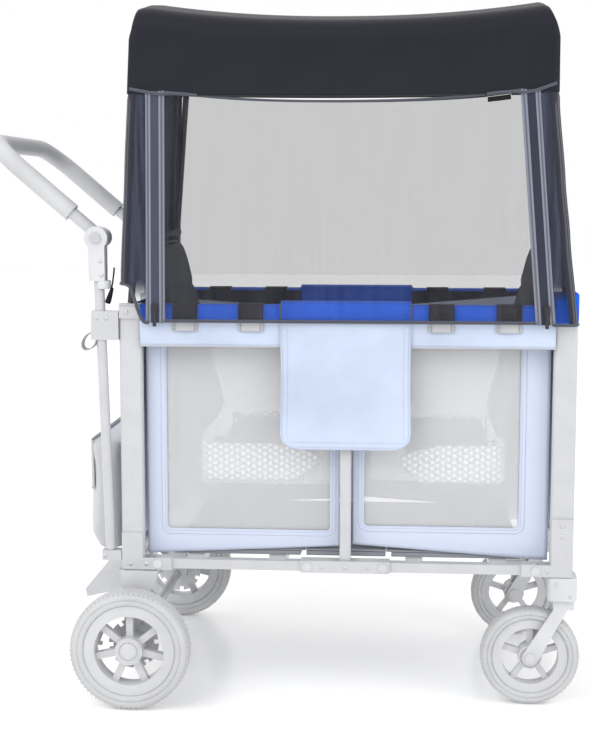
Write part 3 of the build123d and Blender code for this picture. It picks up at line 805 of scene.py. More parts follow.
def makeZip(name, surface, place,
        side):  # two tapes and a row of teeth along one edge of a zip strip
    half = zipParts["tape"] / 2 / zipStrip[side]
    out = sides[side]

    def tape(u, v):
        point = surface(place + (u - 0.5) * 2 * half, v)
        fold = 0.0016 - 0.0008 * math.cos(2 * math.pi * u) ** 2
        return point + Vector((0, out * fold, 0))
    band = sheetGrid(name + "Tape", tape, 8, 40, 0.0008)
    canopyPiece(band, "zipTape", "zip_metal")
    middle = [tape(0.5, k / 60) + Vector((0, out * 0.0010, 0)) for k in range(61)]
    teeth = alongLine(name + "Teeth", middle, teethTree, teethSockets, zipParts["toothGap"],
            zipParts["tooth"])
    canopyPiece(teeth, "zipTeeth", "zip_metal")


makeCanopy()
print("canopy done")


sleeve = {"outerY": high("rear_rail_sleeves").y, "top": railTop,
        "bottom": low("rear_rail_sleeves").z,
          "from": 0.104, "to": 0.356, "innerY": 0.2185}
straps = {"places": (0.163, 0.277), "width": 0.043, "drop": 0.030}


# cloth round an upper rail: outer skirt, over the top, short inner skirt; slack between the straps
def sleeveSurface(end, side):
    def surface(u, v):
        x = sleeve["from"] + (sleeve["to"] - sleeve["from"]) * u
        puff = 0.0
        for place in straps["places"]:
            puff += math.exp(-((x - place) / 0.020) ** 2)
        slack = 0.0022 * max(0.0, 1 - puff)
        wrinkle = 0.0007 * math.sin(x * 150 + v * 4) * (1 - v)
        top = sleeve["top"] - 0.004
        if v < 0.62:
            share = v / 0.62
            z = sleeve["bottom"] + (top - sleeve["bottom"]) * share
            y = sleeve["outerY"] - 0.0025 + slack * math.sin(math.pi * share) + wrinkle
        elif v < 0.80:
            share = (v - 0.62) / 0.18
            y = sleeve["outerY"] - 0.0025 - (sleeve["outerY"] - sleeve["innerY"] - 0.0045) * share
            z = top + 0.0035 * math.sin(math.pi * share) + slack * 0.6
        else:
            share = (v - 0.80) / 0.20
            y = sleeve["innerY"] + 0.002 - slack * 0.5
            z = top - 0.040 * share
        return Vector((hingeX + ends[end] * x, side * y, z))
    return surface


def strapSurface(end, side, place, lift=0.0035):  # flat black webbing wrapped over the sleeve
    def surface(u, v):
        x = place + (u - 0.5) * straps["width"]
        outer, inner = sleeve["outerY"] + lift - 0.0012, sleeve["innerY"] + 0.0005
        top = sleeve["top"] + 0.0012
        if v < 0.6:
            share = v / 0.6
            y, z = outer, top - 0.004 - (1 - share) * (straps["drop"] + 0.012)
        elif v < 0.8:
            share = (v - 0.6) / 0.2
            turn = share * math.pi
            y = (outer + inner) / 2 + (outer - inner) / 2 * math.cos(turn)
            z = top - 0.004 + 0.0050 * math.sin(turn) ** 0.5 if 0 < share < 1 else top - 0.004
        else:
            share = (v - 0.8) / 0.2
            y, z = inner, top - 0.004 - share * 0.036
        return Vector((hingeX + ends[end] * x, side * y, z))
    return surface


def stitchLine(name, points, body, slotName, material="paleTrim"):
    row = alongLine(name, points, stitchTree, stitchSockets, 0.0050, (0.0007, 0.0007, 0.0030))
    return finishPiece(row, body, material, slotName)


def makeSleeves():
    for end in ends:
        body = end + "_upper_link"
        for side, sign in sides.items():
            label = f"{end}{side.title()}"
            surface = sleeveSurface(end, sign)
            cover = sheetGrid(label + "RailSleeve", surface, 60, 30, 0.0014)
            finishPiece(cover, body, "blueCloth", "blue_cloth")
            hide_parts(end + "_rail_sleeves")
            declareSheet(cover)
            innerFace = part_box("rear_upper_rails")[1].y - 0.0245

            # a near-black sheet along the inner face of each upper rail, 56 mm deep below the rail top
            def innerRailSheet(u, v):
                x = 0.014 + (0.356 - 0.014) * u
                z = sleeve["top"] - 0.004 - 0.056 * (1 - v)
                y = innerFace - 0.0012 - 0.0015 * math.sin(math.pi * v) + 0.0008 * math.sin(x * 90)
                return at(ends[end] * x, sign * y, z)
            back = sheetGrid(label + "RailInnerSheet", innerRailSheet, 40, 10, 0.0012)
            finishPiece(back, body, "innerRailSheet", "blue_cloth")
            declareSheet(back)
            hem = [surface(k / 40, 0.03) + Vector((0, sign * 0.0010, 0)) for k in range(41)]
            stitchLine(label + "SleeveStitch", hem, body, "blue_cloth", "blueCloth")
            skirt = tubePiece(label + "SleeveHem", [surface(k / 30, 0.0) for k in range(31)],
                    0.0017)
            finishPiece(skirt, body, "paleTrim", "blue_cloth")
            for number, place in enumerate(straps["places"]):
                strapFace = strapSurface(end, sign, place)
                strap = sheetGrid(f"{label}Strap{number}", strapFace, 4, 40, 0.0015)
                finishPiece(strap, body, "webbing", "blue_cloth")
                declareSheet(strap)
                for edge in (0.10, 0.90):
                    line = [strapFace(edge,
                            0.05 + 0.5 * k / 20) + Vector((0, sign * 0.0009, 0)) for k in range(21)]
                    stitchLine(f"{label}Strap{number}Stitch{int(edge * 10)}", line, body,
                            "blue_cloth", "piping")


flap = {"half": 0.1115, "bottom": low("centre_flaps").z, "top": high("centre_flaps").z,
        "corner": 0.026,
        "outerY": high("centre_flaps").y, "innerY": 0.2155}


def flapSurface(sign, lift=0.0):  # padded cloth flap hanging over the centre hinge
    def surface(u, v):
        across = 2 * u - 1
        z = flap["bottom"] + (flap["top"] - 0.003 - flap["bottom"]) * min(1.0, v / 0.78)
        half = flap["half"]
        rise = z - flap["bottom"]
        if rise < flap["corner"]:
            half -= flap["corner"] - math.sqrt(max(0.0,
                    flap["corner"] ** 2 - (flap["corner"] - rise) ** 2))
        flare = 1.0 - 0.02 * math.sin(math.pi * min(1.0, v / 0.78))
        x = across * half * flare
        quilt = 0.0026 * (1 - across ** 2) * math.sin(math.pi * min(1.0, v / 0.78)) ** 0.5
        if v <= 0.78:
            y = flap["outerY"] - 0.0035 + quilt + lift
        elif v <= 0.90:
            share = (v - 0.78) / 0.12
            y = flap["outerY"] - 0.0035 - (flap["outerY"] - 0.0035 - flap["innerY"]) * share
            z = flap["top"] - 0.003 + 0.003 * math.sin(math.pi * share)
        else:
            share = (v - 0.90) / 0.10
            y, z = flap["innerY"], flap["top"] - 0.003 - 0.040 * share
        return Vector((hingeX + x, sign * y, z))
    return surface


def flapEdge(sign):
    surface = flapSurface(sign)
    left = [surface(0.0, k / 40 * 0.78) for k in range(40, -1, -1)]
    bottom = [surface(k / 12, 0.0) for k in range(1, 12)]
    right = [surface(1.0, k / 40 * 0.78) for k in range(41)]
    return left + bottom + right


def makeFlaps():
    for side, sign in sides.items():
        surface = flapSurface(sign)
        cloth = sheetGrid(side + "CentreFlap", surface, 40, 60, 0.0024)
        finishPiece(cloth, "centre", "paleBlueFade", "blue_cloth")
        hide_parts("centre_flaps")
        declareSheet(cloth)
        rim = tubePiece(side + "FlapPiping", flapEdge(sign), 0.0022)
        finishPiece(rim, "centre", "flapPiping", "blue_cloth")
        inset = [surface(0.5 + (p - 0.5) * 0.93, 0.035) + Vector((0, sign * 0.0014, 0)) for p in
                 [k / 30 for k in range(31)]]
        stitchLine(side + "FlapStitch", inset, "centre", "blue_cloth", "flapPiping")
        for number, u in enumerate((0.045, 0.955)):
            line = [surface(u, 0.05 + 0.70 * k / 40) + Vector((0, sign * 0.0014,
                    0)) for k in range(41)]
            stitchLine(f"{side}FlapSideStitch{number}", line, "centre", "blue_cloth", "flapPiping")


# cloth that is deep blue above a level and washed-out blue below it
def fadeMaterial(name, top, bottom, level, blend, sheen=0.10):
    mat, tree, shader = nodeMaterial(name)
    space = addNode(tree, "ShaderNodeTexCoord").outputs["Object"]
    apart = addNode(tree, "ShaderNodeSeparateXYZ")
    joinTo(tree, space, apart.inputs[0])
    share = ramp(tree, apart.outputs["Z"], level - blend, level + blend)
    across = stripes(tree, space, "DIAGONAL", 0.0011)
    upright = stripes(tree, space, "Z", 0.0011)
    weave = calc(tree, "MULTIPLY", across, upright)
    drift = addNode(tree, "ShaderNodeTexNoise", Scale=9.0, Detail=4.0)
    joinTo(tree, space, drift.inputs["Vector"])
    mix = addNode(tree, "ShaderNodeMix", data_type="RGBA")
    joinTo(tree, share, mix.inputs["Factor"])
    mix.inputs["A"].default_value = (*bottom, 1)
    mix.inputs["B"].default_value = (*top, 1)
    tone = addNode(tree, "ShaderNodeMix", data_type="RGBA", blend_type="MULTIPLY")
    tone.inputs["Factor"].default_value = 1.0
    joinTo(tree, mix.outputs["Result"], tone.inputs["A"])
    grey = ramp(tree, calc(tree, "ADD", calc(tree, "MULTIPLY", weave, 0.3), drift.outputs["Fac"]),
            -1.6, 0.9)
    joinTo(tree, grey, tone.inputs["B"])
    joinTo(tree, tone.outputs["Result"], shader.inputs["Base Color"])
    shader.inputs["Roughness"].default_value = 0.8
    shader.inputs["Sheen Weight"].default_value = sheen
    bumpFrom(tree, calc(tree, "ADD", calc(tree, "MULTIPLY", weave, 0.4), drift.outputs["Fac"]),
            shader, 0.35, 0.0012)
    return mat


fadeLevel = canopy["hemZ"] + 0.003
seatFadeLevel = 0.664  # the seats turn pale a little lower
finish["paleBlueFade"] = fadeMaterial("flapCloth", colours["royalBlue"], colours["paleCloth"],
        fadeLevel, 0.0015)
finish["flapPiping"] = fadeMaterial("flapPiping", (0.10, 0.12, 0.26), (0.56, 0.62, 0.76), fadeLevel,
        0.0015)
finish["seatCloth"] = fadeMaterial("seatCloth", colours["seat"], (0.60, 0.605, 0.62), seatFadeLevel,
        0.003, 0.03)
finish["seatPiping"] = fadeMaterial("seatPiping", (0.02, 0.021, 0.03), (0.5, 0.5, 0.52),
        seatFadeLevel, 0.003)
finish["blueCloth"] = fadeMaterial("sleeveCloth", colours["royalBlue"], colours["paleCloth"],
        fadeLevel, 0.0015)
finish["webbing"] = fadeMaterial("strapWebbing", colours["black"], (0.55, 0.56, 0.59), fadeLevel,
        0.0015, 0.04)
finish["crossBar"] = fadeMaterial("crossBars", (0.022, 0.022, 0.028), colours["tube"], fadeLevel,
        0.0015, 0.0)
finish["cornerBlue"] = clothMaterial("cornerCloth", (0.012, 0.13, 0.80), shade=0.7, sheen=0.1)
makeSleeves()
makeFlaps()
print("sleeves and flaps done")


panel = {"y": 0.2115, "bottom": low("rear_side_panels").z - 0.0115,
        "top": high("rear_side_panels").z,
         "inner": 0.012, "outer": 0.352}
windows = {"rear": (0.028, 0.316, 0.302, 0.630), "front": (0.032, 0.301, 0.312, 0.630)}
windowCorner = 0.007


def windowOutline(end, grow=0.0, steps=8):  # rounded rectangle: (x, z) points round a window
    x0, x1, z0, z1 = windows[end]
    x0, x1, z0, z1 = x0 - grow, x1 + grow, z0 - grow, z1 + grow
    radius = windowCorner + grow
    points = []
    for cx, cz, first in ((x1 - radius, z1 - radius, 0), (x0 + radius, z1 - radius, 90),
                          (x0 + radius, z0 + radius, 180), (x1 - radius, z0 + radius, 270)):
        for k in range(steps + 1):
            turn = math.radians(first + 90 * k / steps)
            points.append((cx + radius * math.cos(turn), cz + radius * math.sin(turn)))
    return points


def panelBulge(x, z):  # how far the cloth stands out between its edges
    along = (x - panel["inner"]) / (panel["outer"] - panel["inner"])
    up = (z - panel["bottom"]) / (panel["top"] - panel["bottom"])
    along, up = min(1.0, max(0.0, along)), min(1.0, max(0.0, up))
    return 0.0012 * math.sin(math.pi * along) * math.sin(math.pi * up)


def panelPoint(end, side, x, z, lift=0.0):
    y = panel["y"] + panelBulge(x, z) + lift
    return Vector((hingeX + ends[end] * x, side * y, z))


def makeSidePanel(end, side, sign):  # cloth border round a net window, with bound edges
    outer = windowOutline(end, 0.0)
    count = len(outer)
    x0, x1, z0, z1 = windows[end]
    middle = ((x0 + x1) / 2, (z0 + z1) / 2)
    points, faces = [], []
    rings = 7
    for ring in range(rings + 1):
        share = ring / rings
        for x, z in outer:
            dx, dz = x - middle[0], z - middle[1]
            reachX = (panel["outer"] - middle[0]) / dx if dx > 0 else (panel["inner"] - middle[0]) / dx if dx < 0 else 9
            reachZ = (panel["top"] - middle[1]) / dz if dz > 0 else (panel["bottom"] - middle[1]) / dz if dz < 0 else 9
            reach = min(reachX, reachZ)
            px = x + (middle[0] + dx * reach - x) * share
            pz = z + (middle[1] + dz * reach - z) * share
            points.append(panelPoint(end, sign, px, pz, 0.0010 * math.sin(math.pi * share)))
    for ring in range(rings):
        for k in range(count):
            following = (k + 1) % count
            faces.append((ring * count + k, ring * count + following,
                          (ring + 1) * count + following, (ring + 1) * count + k))
    label = f"{end}{side.title()}"
    border = meshPiece(label + "PanelBorder", points, faces)
    solid = border.modifiers.new("thickness", "SOLIDIFY")
    solid.thickness, solid.offset = 0.0020, 0
    applyAll(border)
    pieces = [(border, "paleCloth", "pale_cloth")]
    x0, x1, z0, z1 = windows[end]

    def net(u, v):
        x = x0 - 0.003 + (x1 - x0 + 0.006) * u
        z = z0 - 0.003 + (z1 - z0 + 0.006) * v
        return panelPoint(end, sign, x, z, -0.0012)
    mesh = sheetGrid(label + "Window", net, 30, 26, 0.0008)
    pieces.append((mesh, "windowNet", "pale_cloth"))
    edge = [panelPoint(end, sign, x, z, 0.0012) for x, z in windowOutline(end, 0.003)]
    binding = tubePiece(label + "WindowBinding", edge, 0.0013, closed=True)
    pieces.append((binding, "paleCloth", "pale_cloth"))
    row = [panelPoint(end, sign, x, z, 0.0022) for x, z in windowOutline(end, 0.010)]
    stitches = alongLine(label + "WindowStitch", row + row[:1], stitchTree, stitchSockets, 0.005,
            (0.0007, 0.0007, 0.003))
    pieces.append((stitches, "paleTrim", "pale_cloth"))
    for piece, material, slotName in pieces:
        finishPiece(piece, frameOf[end], material, slotName)
        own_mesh(piece)
    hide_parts(end + "_side_panels")
    declareSheet(border)
    declareSheet(mesh)


def makeEndPanels():
    for end in ends:
        sign = ends[end]
        middle = (low(end + "_end_panel").x + high(end + "_end_panel").x) / 2
        bottom, top = low(end + "_end_panel").z, high(end + "_end_panel").z

        def surface(u, v):
            y = (2 * u - 1) * 0.2175
            z = bottom + (top - bottom) * v
            x = middle + sign * 0.0015 * math.sin(math.pi * u) * math.sin(math.pi * v)
            return Vector((x, y, z))
        cloth = sheetGrid(end + "EndPanel", surface, 30, 30, 0.0022)
        finishPiece(cloth, frameOf[end], "endCloth", "pale_cloth")
        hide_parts(end + "_end_panel")
        declareSheet(cloth)


def makeFloorMats():
    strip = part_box("centre_floor_strip")
    for name, body, node in (("rear", "rear_lower_link", "rear_floor_board"),
            ("centre", "centre", "centre_floor_strip"),
                             ("front", "front_lower_link", "front_floor_board")):
        a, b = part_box(node)
        start, stop = a.x - 0.0005, b.x + 0.0005
        if name == "rear":
            stop = strip[0].x - 0.0012
        elif name == "front":
            start = strip[1].x + 0.0012
        board = roundedBlock(name + "FloorBoard", (a.x, -0.2090, a.z), (b.x, 0.2090, b.z - 0.0005),
                0.0010)
        finishPiece(board, body, "floorCloth", "floor_cloth")
        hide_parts(node)
        mat = roundedBlock(name + "FloorMat", (start, -0.2095, b.z + 0.0003),
                (stop, 0.2095, b.z + 0.0042), 0.0014)
        finishPiece(mat, body, "floorCloth", "floor_cloth")


finish["endCloth"] = fadeMaterial("endCloth", colours["royalBlue"], colours["paleCloth"], fadeLevel,
        0.0015)
for end in ends:
    for side, sign in sides.items():
        makeSidePanel(end, side, sign)
makeEndPanels()
makeFloorMats()
print("tub cloth done")


seat = {"voxel": 0.006, "pressure": 4.0, "cap": 0.007, "frames": 20}


# inflates a closed form with cloth simulation and keeps every point within cap of where it was
def puffUp(obj, voxel, pressure, cap, frames):
    remesh = obj.modifiers.new("voxels", "REMESH")
    remesh.mode, remesh.voxel_size = "VOXEL", voxel
    applyAll(obj)
    start = [vert.co.copy() for vert in obj.data.vertices]
    cloth = obj.modifiers.new("cloth", "CLOTH")
    settings = cloth.settings
    settings.use_pressure = True
    settings.uniform_pressure_force = pressure
    settings.effector_weights.gravity = 0
    settings.quality = 6
    settings.tension_stiffness = 12
    settings.shrink_min = -0.02
    cloth.collision_settings.use_self_collision = False
    for number in range(1, frames + 1):
        bpy.context.scene.frame_set(number)
    applyAll(obj)
    bpy.context.scene.frame_set(1)
    for vert, origin in zip(obj.data.vertices, start):
        move = vert.co - origin
        if move.length > cap:
            vert.co = origin + move * (cap / move.length)
    smooth = obj.modifiers.new("smooth", "SMOOTH")
    smooth.factor, smooth.iterations = 0.5, 4
    return applyAll(obj)


# a slab between four corner points, thinner at its rim, ready to be puffed up
def padBlock(name, corners, thickness, cuts=10):
    a, b, c, d = [Vector(p) for p in corners]
    normal = (b - a).cross(d - a).normalized()
    points, faces = [], []
    for layer in (-1, 1):
        for j in range(cuts + 1):
            for i in range(cuts + 1):
                u, v = i / cuts, j / cuts
                point = a * (1 - u) * (1 - v) + b * u * (1 - v) + c * u * v + d * (1 - u) * v
                rim = min(1.0, min(u, 1 - u, v, 1 - v) * 7)
                thick = thickness / 2 * (0.55 + 0.45 * math.sin(rim * math.pi / 2))
                points.append(point + normal * layer * thick)
    size = (cuts + 1) ** 2
    wide = cuts + 1
    for j in range(cuts):
        for i in range(cuts):
            k = j * wide + i
            faces.append((k, k + 1, k + 1 + wide, k + wide))
            faces.append((size + k, size + k + wide, size + k + 1 + wide, size + k + 1))
    border = [i for i in range(wide)] + [j * wide + cuts for j in range(1, wide)]
    border += [cuts * wide + i for i in range(cuts - 1, -1,
            -1)] + [j * wide for j in range(cuts - 1, 0, -1)]
    for k, first in enumerate(border):
        second = border[(k + 1) % len(border)]
        faces.append((first, first + size, second + size, second))
    return meshPiece(name, points, faces)


# presses sewn channels into a pad, along lines at those places
def sewChannels(obj, coordinate, places, depth, width, facing):
    for vert, normal in [(v, v.normal.copy()) for v in obj.data.vertices]:
        if normal.dot(facing) < 0.2:
            continue
        value = vert.co.dot(coordinate)
        for place in places:
            pull = math.exp(-((value - place) / width) ** 2)
            vert.co -= normal * depth * pull


def makeSeats():
    for end, sign in ends.items():
        backNode, benchNode = end + "_seat_back", end + "_seat_bench"
        a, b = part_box(backNode)
        topZ, bottomZ = b.z - 0.004, a.z + 0.006
        thickness = 0.0226
        half = 0.186
        topX = (a.x if sign < 0 else b.x) - sign * (thickness / 2 + 0.002)
        bottomX = (b.x if sign < 0 else a.x) + sign * (thickness / 2 + 0.002)
        corners = [(topX, -half, topZ), (topX, half, topZ), (bottomX, half, bottomZ),
                (bottomX, -half, bottomZ)]
        pad = padBlock(end + "SeatBackPad", corners, thickness - 0.004)
        puffUp(pad, seat["voxel"], seat["pressure"], seat["cap"] * 0.55, seat["frames"])
        down = (Vector(corners[3]) - Vector(corners[0])).normalized()
        facing = Vector((-sign, 0, 0))
        start = Vector(corners[0]).dot(down)
        sewChannels(pad, down, [start + 0.09 * k for k in (1, 2, 3)], 0.0035, 0.006, facing)
        finishPiece(pad, end + "_seat_back_panel", "seatCloth", "seat_cloth")
        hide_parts(backNode)
        rim = [Vector(c) for c in corners]
        edge = []
        for k in range(4):
            first, second = rim[k], rim[(k + 1) % 4]
            edge += [first.lerp(second, s) for s in (0.06, 0.35, 0.65, 0.94)]
        piping = tubePiece(end + "SeatBackPiping", edge, 0.0030, closed=True)
        finishPiece(piping, end + "_seat_back_panel", "seatPiping", "seat_cloth")
        c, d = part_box(benchNode)
        top = d.z - 0.008
        slab = 0.026
        z = top - slab / 2 - 0.001
        back = (c.x + 0.012) if sign < 0 else (d.x - 0.012)
        front = (d.x - 0.004) if sign < 0 else (c.x + 0.004)
        corners = [(back, -0.189, z), (front, -0.189, z), (front, 0.189, z), (back, 0.189, z)]
        pad = padBlock(end + "BenchPad", corners, slab - 0.004)
        puffUp(pad, seat["voxel"], seat["pressure"], seat["cap"] * 0.5, seat["frames"])
        sewChannels(pad, Vector((0, 1, 0)), [-0.095, 0, 0.095], 0.0035, 0.006, Vector((0, 0, 1)))
        finishPiece(pad, end + "_bench", "seatCloth", "seat_cloth")
        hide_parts(benchNode)
        for side, way in sides.items():
            makeWing(end, side, sign, way, c, d)
            tab = roundedBlock(f"{end}{side.title()}SeatTab",
                    (back, way * 0.150 - 0.018, top - 0.004),
                               (back + (0.012 if sign < 0 else 0.006), way * 0.150 + 0.018,
                               top + 0.003), 0.001)
            finishPiece(tab, end + "_bench", "webbing", "seat_cloth")


def makeWing(end, side, sign, way, c, d):  # printed side of a bench, taller at the front; its print also glows as painted light
    backX = c.x if sign < 0 else d.x
    frontX = d.x if sign < 0 else c.x
    top, bottom = d.z - 0.006, c.z + 0.001

    def surface(u, v):
        x = backX + (frontX - backX) * u
        upper = top - 0.018 * max(0.0, (u - 0.60) / 0.40)
        lower = bottom + 0.006 + 0.034 * max(0.0, (u - 0.80) / 0.20)
        z = lower + (upper - lower) * v
        y = 0.1975 + 0.002 * math.sin(math.pi * u)
        return Vector((x, way * y, z))
    wing = sheetGrid(f"{end}{side.title()}BenchSide", surface, 24, 8, 0.0030)
    finishPiece(wing, end + "_bench", "honeycomb", "seat_cloth")
    declareSheet(wing)
    trim = tubePiece(f"{end}{side.title()}BenchTrim", [surface(k / 30, 0.0) for k in range(31)],
            0.0022)
    finishPiece(trim, end + "_bench", "paleTrim", "seat_cloth")


makeSeats()
print("seats done")


# storage bag behind the rear frame: a sagging shell with a flap

bag = {"depthTop": 0.0575, "depthLow": 0.0600, "power": 7.0}


def bagOutline(share, turn):
    # half depth and width grow towards the bottom, and the corners are round
    a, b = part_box("storage_bag")
    z = b.z - (b.z - a.z) * share
    frontX = b.x - 0.002
    depth = bag["depthTop"] + (bag["depthLow"] - bag["depthTop"]) * math.sin(share * math.pi * 0.5) ** 0.8
    depth *= 1 - 0.30 * max(0.0, share - 0.86) / 0.14
    half = (b.y - a.y) / 2 - 0.003 - 0.006 * math.sin(math.pi * share)
    c, s = math.cos(turn), math.sin(turn)
    x = frontX - depth / 2 + depth / 2 * math.copysign(abs(c) ** (2 / bag["power"]), c)
    y = half * math.copysign(abs(s) ** (2 / (bag["power"] * 2.2)), s)
    if c < 0:
        x -= 0.0035 * math.sin(math.pi * share) * math.cos(y / half * math.pi / 2)
        x += 0.0014 * math.sin(y * 60) * math.sin(math.pi * share)
    return Vector((x, (a.y + b.y) / 2 + y, z))


def makeBag():
    rings, steps = 22, 72
    points, faces = [], []
    for j in range(rings + 1):
        for i in range(steps):
            points.append(bagOutline(j / rings, 2 * math.pi * i / steps))
    for j in range(rings):
        for i in range(steps):
            k, following = j * steps + i, j * steps + (i + 1) % steps
            faces.append((k, following, following + steps, k + steps))
    faces.append(tuple(range(steps)))
    faces.append(tuple(rings * steps + i for i in range(steps))[::-1])
    body = meshPiece("storageBag", points, faces)
    puffUp(body, 0.006, 2.0, 0.0022, 14)
    finishPiece(body, "rear_frame", "bagCloth", "bag_cloth")
    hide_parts("storage_bag")

    def flapFace(u, v):
        share = -0.015 + 0.46 * v
        turn = math.pi + (u - 0.5) * 2.3
        point = bagOutline(max(0.0, share), turn)
        return point + Vector((-0.0028, 0.0024 * math.copysign(1, u - 0.5) * abs(2 * u - 1) ** 8,
                0.0015 if share <= 0 else 0))
    cover = sheetGrid("bagFlap", flapFace, 40, 16, 0.0018)
    finishPiece(cover, "rear_frame", "bagCloth", "bag_cloth")
    declareSheet(cover)
    edge = [flapFace(0.0, k / 12) for k in range(12)] + [flapFace(k / 40, 1.0) for k in range(41)]
    edge += [flapFace(1.0, k / 12) for k in range(11, -1, -1)]
    rim = tubePiece("bagFlapPiping", edge, 0.0016)
    finishPiece(rim, "rear_frame", "paleTrim", "bag_cloth")
    row = [flapFace(0.06 + 0.88 * k / 40, 0.92) + Vector((-0.0012, 0, 0)) for k in range(41)]
    stitchLine("bagFlapStitch", row, "rear_frame", "bag_cloth", "paleTrim")
    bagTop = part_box("storage_bag")[1].z
    for number, y in enumerate((-0.085, 0.085)):
        def strapFace(u, v):
            x = bagOutline(0.14 + v * 0.5, math.pi).x - 0.0058
            return Vector((x, y + (u - 0.5) * 0.022, bagTop - 0.02 - v * 0.105))
        tab = sheetGrid(f"bagStrap{number}", strapFace, 4, 16, 0.0014)
        finishPiece(tab, "rear_frame", "paleWebbing", "bag_cloth")
        declareSheet(tab)


makeBag()
print("storage bag done")


# wheels: turned tyres with moulded tread, hub caps and hub rings

tyreShape = {"rear": {"groove": 0.0016, "blocks": 72, "block": (0.0042, 0.0085, 0.0016)},
             "front": {"groove": 0.0014, "blocks": 60, "block": (0.0038, 0.0070, 0.0014)}}


def ringTree(name, material):
    # copies one rounded block round a circle, with named inputs
    tree = bpy.data.node_groups.new(name, "GeometryNodeTree")
    tree.interface.new_socket("Geometry", in_out="INPUT", socket_type="NodeSocketGeometry")
    number = tree.interface.new_socket("Count", in_out="INPUT", socket_type="NodeSocketInt")
    radius = tree.interface.new_socket("Radius", in_out="INPUT", socket_type="NodeSocketFloat")
    size = tree.interface.new_socket("Block Size", in_out="INPUT", socket_type="NodeSocketVector")
    tree.interface.new_socket("Geometry", in_out="OUTPUT", socket_type="NodeSocketGeometry")
    start, stop = tree.nodes.new("NodeGroupInput"), tree.nodes.new("NodeGroupOutput")
    ring = tree.nodes.new("GeometryNodeCurvePrimitiveCircle")
    toPoints = tree.nodes.new("GeometryNodeCurveToPoints")
    toPoints.mode = "COUNT"
    block = tree.nodes.new("GeometryNodeMeshCube")
    place = tree.nodes.new("GeometryNodeInstanceOnPoints")
    real = tree.nodes.new("GeometryNodeRealizeInstances")
    paint = tree.nodes.new("GeometryNodeSetMaterial")
    paint.inputs["Material"].default_value = material
    link = tree.links.new
    link(start.outputs["Radius"], ring.inputs["Radius"])
    link(start.outputs["Count"], toPoints.inputs["Count"])
    link(start.outputs["Block Size"], block.inputs["Size"])
    link(ring.outputs["Curve"], toPoints.inputs["Curve"])
    link(toPoints.outputs["Points"], place.inputs["Points"])
    link(toPoints.outputs["Rotation"], place.inputs["Rotation"])
    link(block.outputs["Mesh"], place.inputs["Instance"])
    link(place.outputs["Instances"], real.inputs["Geometry"])
    link(real.outputs["Geometry"], paint.inputs["Geometry"])
    link(paint.outputs["Geometry"], stop.inputs["Geometry"])
    return tree, {"Count": number.identifier, "Radius": radius.identifier,
            "Block Size": size.identifier}


def ringOf(name, tree, sockets, centre, count, radius, size, turn=0.0):
    # blocks round an axle, moved to the wheel's centre as a plain mesh
    mesh = bpy.data.meshes.new(name + "Seed")
    holder = bpy.data.objects.new(name + "Seed", mesh)
    bpy.context.collection.objects.link(holder)
    modifier = holder.modifiers.new("nodes", "NODES")
    modifier.node_group = tree
    modifier[sockets["Count"]] = count
    modifier[sockets["Radius"]] = radius
    modifier[sockets["Block Size"]] = size
    bpy.context.view_layer.update()
    result = bpy.data.meshes.new_from_object(holder.evaluated_get(bpy.context.evaluated_depsgraph_get()))
    bpy.data.objects.remove(holder)
    result.transform(Matrix.Translation(centre) @ Matrix.Rotation(math.pi / 2, 4,
            "X") @ Matrix.Rotation(turn, 4, "Z"))
    obj = bpy.data.objects.new(name, result)
    bpy.context.collection.objects.link(obj)
    return obj


treadTree, treadSockets = ringTree("treadBlocks", finish["tyre"])


def makeTyre(end, side):
    node = f"{end}_{side}_tyre"
    a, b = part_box(node)
    centre = (a + b) / 2
    radius, half = (b.z - a.z) / 2, (b.y - a.y) / 2
    inner = {"rear": 0.0803, "front": 0.0663}[end]
    groove = tyreShape[end]["groove"]
    depth = radius - inner
    profile = [(inner, -half + 0.004), (inner + depth * 0.10, -half + 0.0015),
            (inner + depth * 0.30, -half),
               (inner + depth * 0.36, -half + 0.0006), (inner + depth * 0.38, -half + 0.0016),
               (inner + depth * 0.42, -half + 0.0016), (inner + depth * 0.44, -half + 0.0006),
               (inner + depth * 0.60, -half + 0.0004), (inner + depth * 0.78, -half + 0.0024),
               (inner + depth * 0.92, -half + 0.0062), (radius - 0.0010, -half * 0.60),
               (radius - 0.0006, -half * 0.42), (radius - groove, -half * 0.38),
               (radius - groove, -half * 0.30),
               (radius - 0.0002, -half * 0.26), (radius, -half * 0.06),
               (radius - groove, -half * 0.03)]
    profile += [(r, -y) for r, y in reversed(profile)]
    tyre = lathePiece(f"{end}{side.title()}Tyre", centre, profile + [profile[0]], segments=112)
    body = f"{end}_{side}_wheel"
    finishPiece(tyre, body, "tyre", "tyre")
    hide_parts(node)
    shape = tyreShape[end]
    for number, way in enumerate((-1, 1)):
        place = centre + Vector((0, way * half * 0.72, 0))
        tread = ringOf(f"{end}{side.title()}Tread{number}", treadTree, treadSockets, place,
                shape["blocks"],
                       radius - 0.0031, shape["block"], turn=number * math.pi / shape["blocks"])
        finishPiece(tread, body, "tyre", "tyre", smooth=False)


hubCap = {"radius": 0.0155}


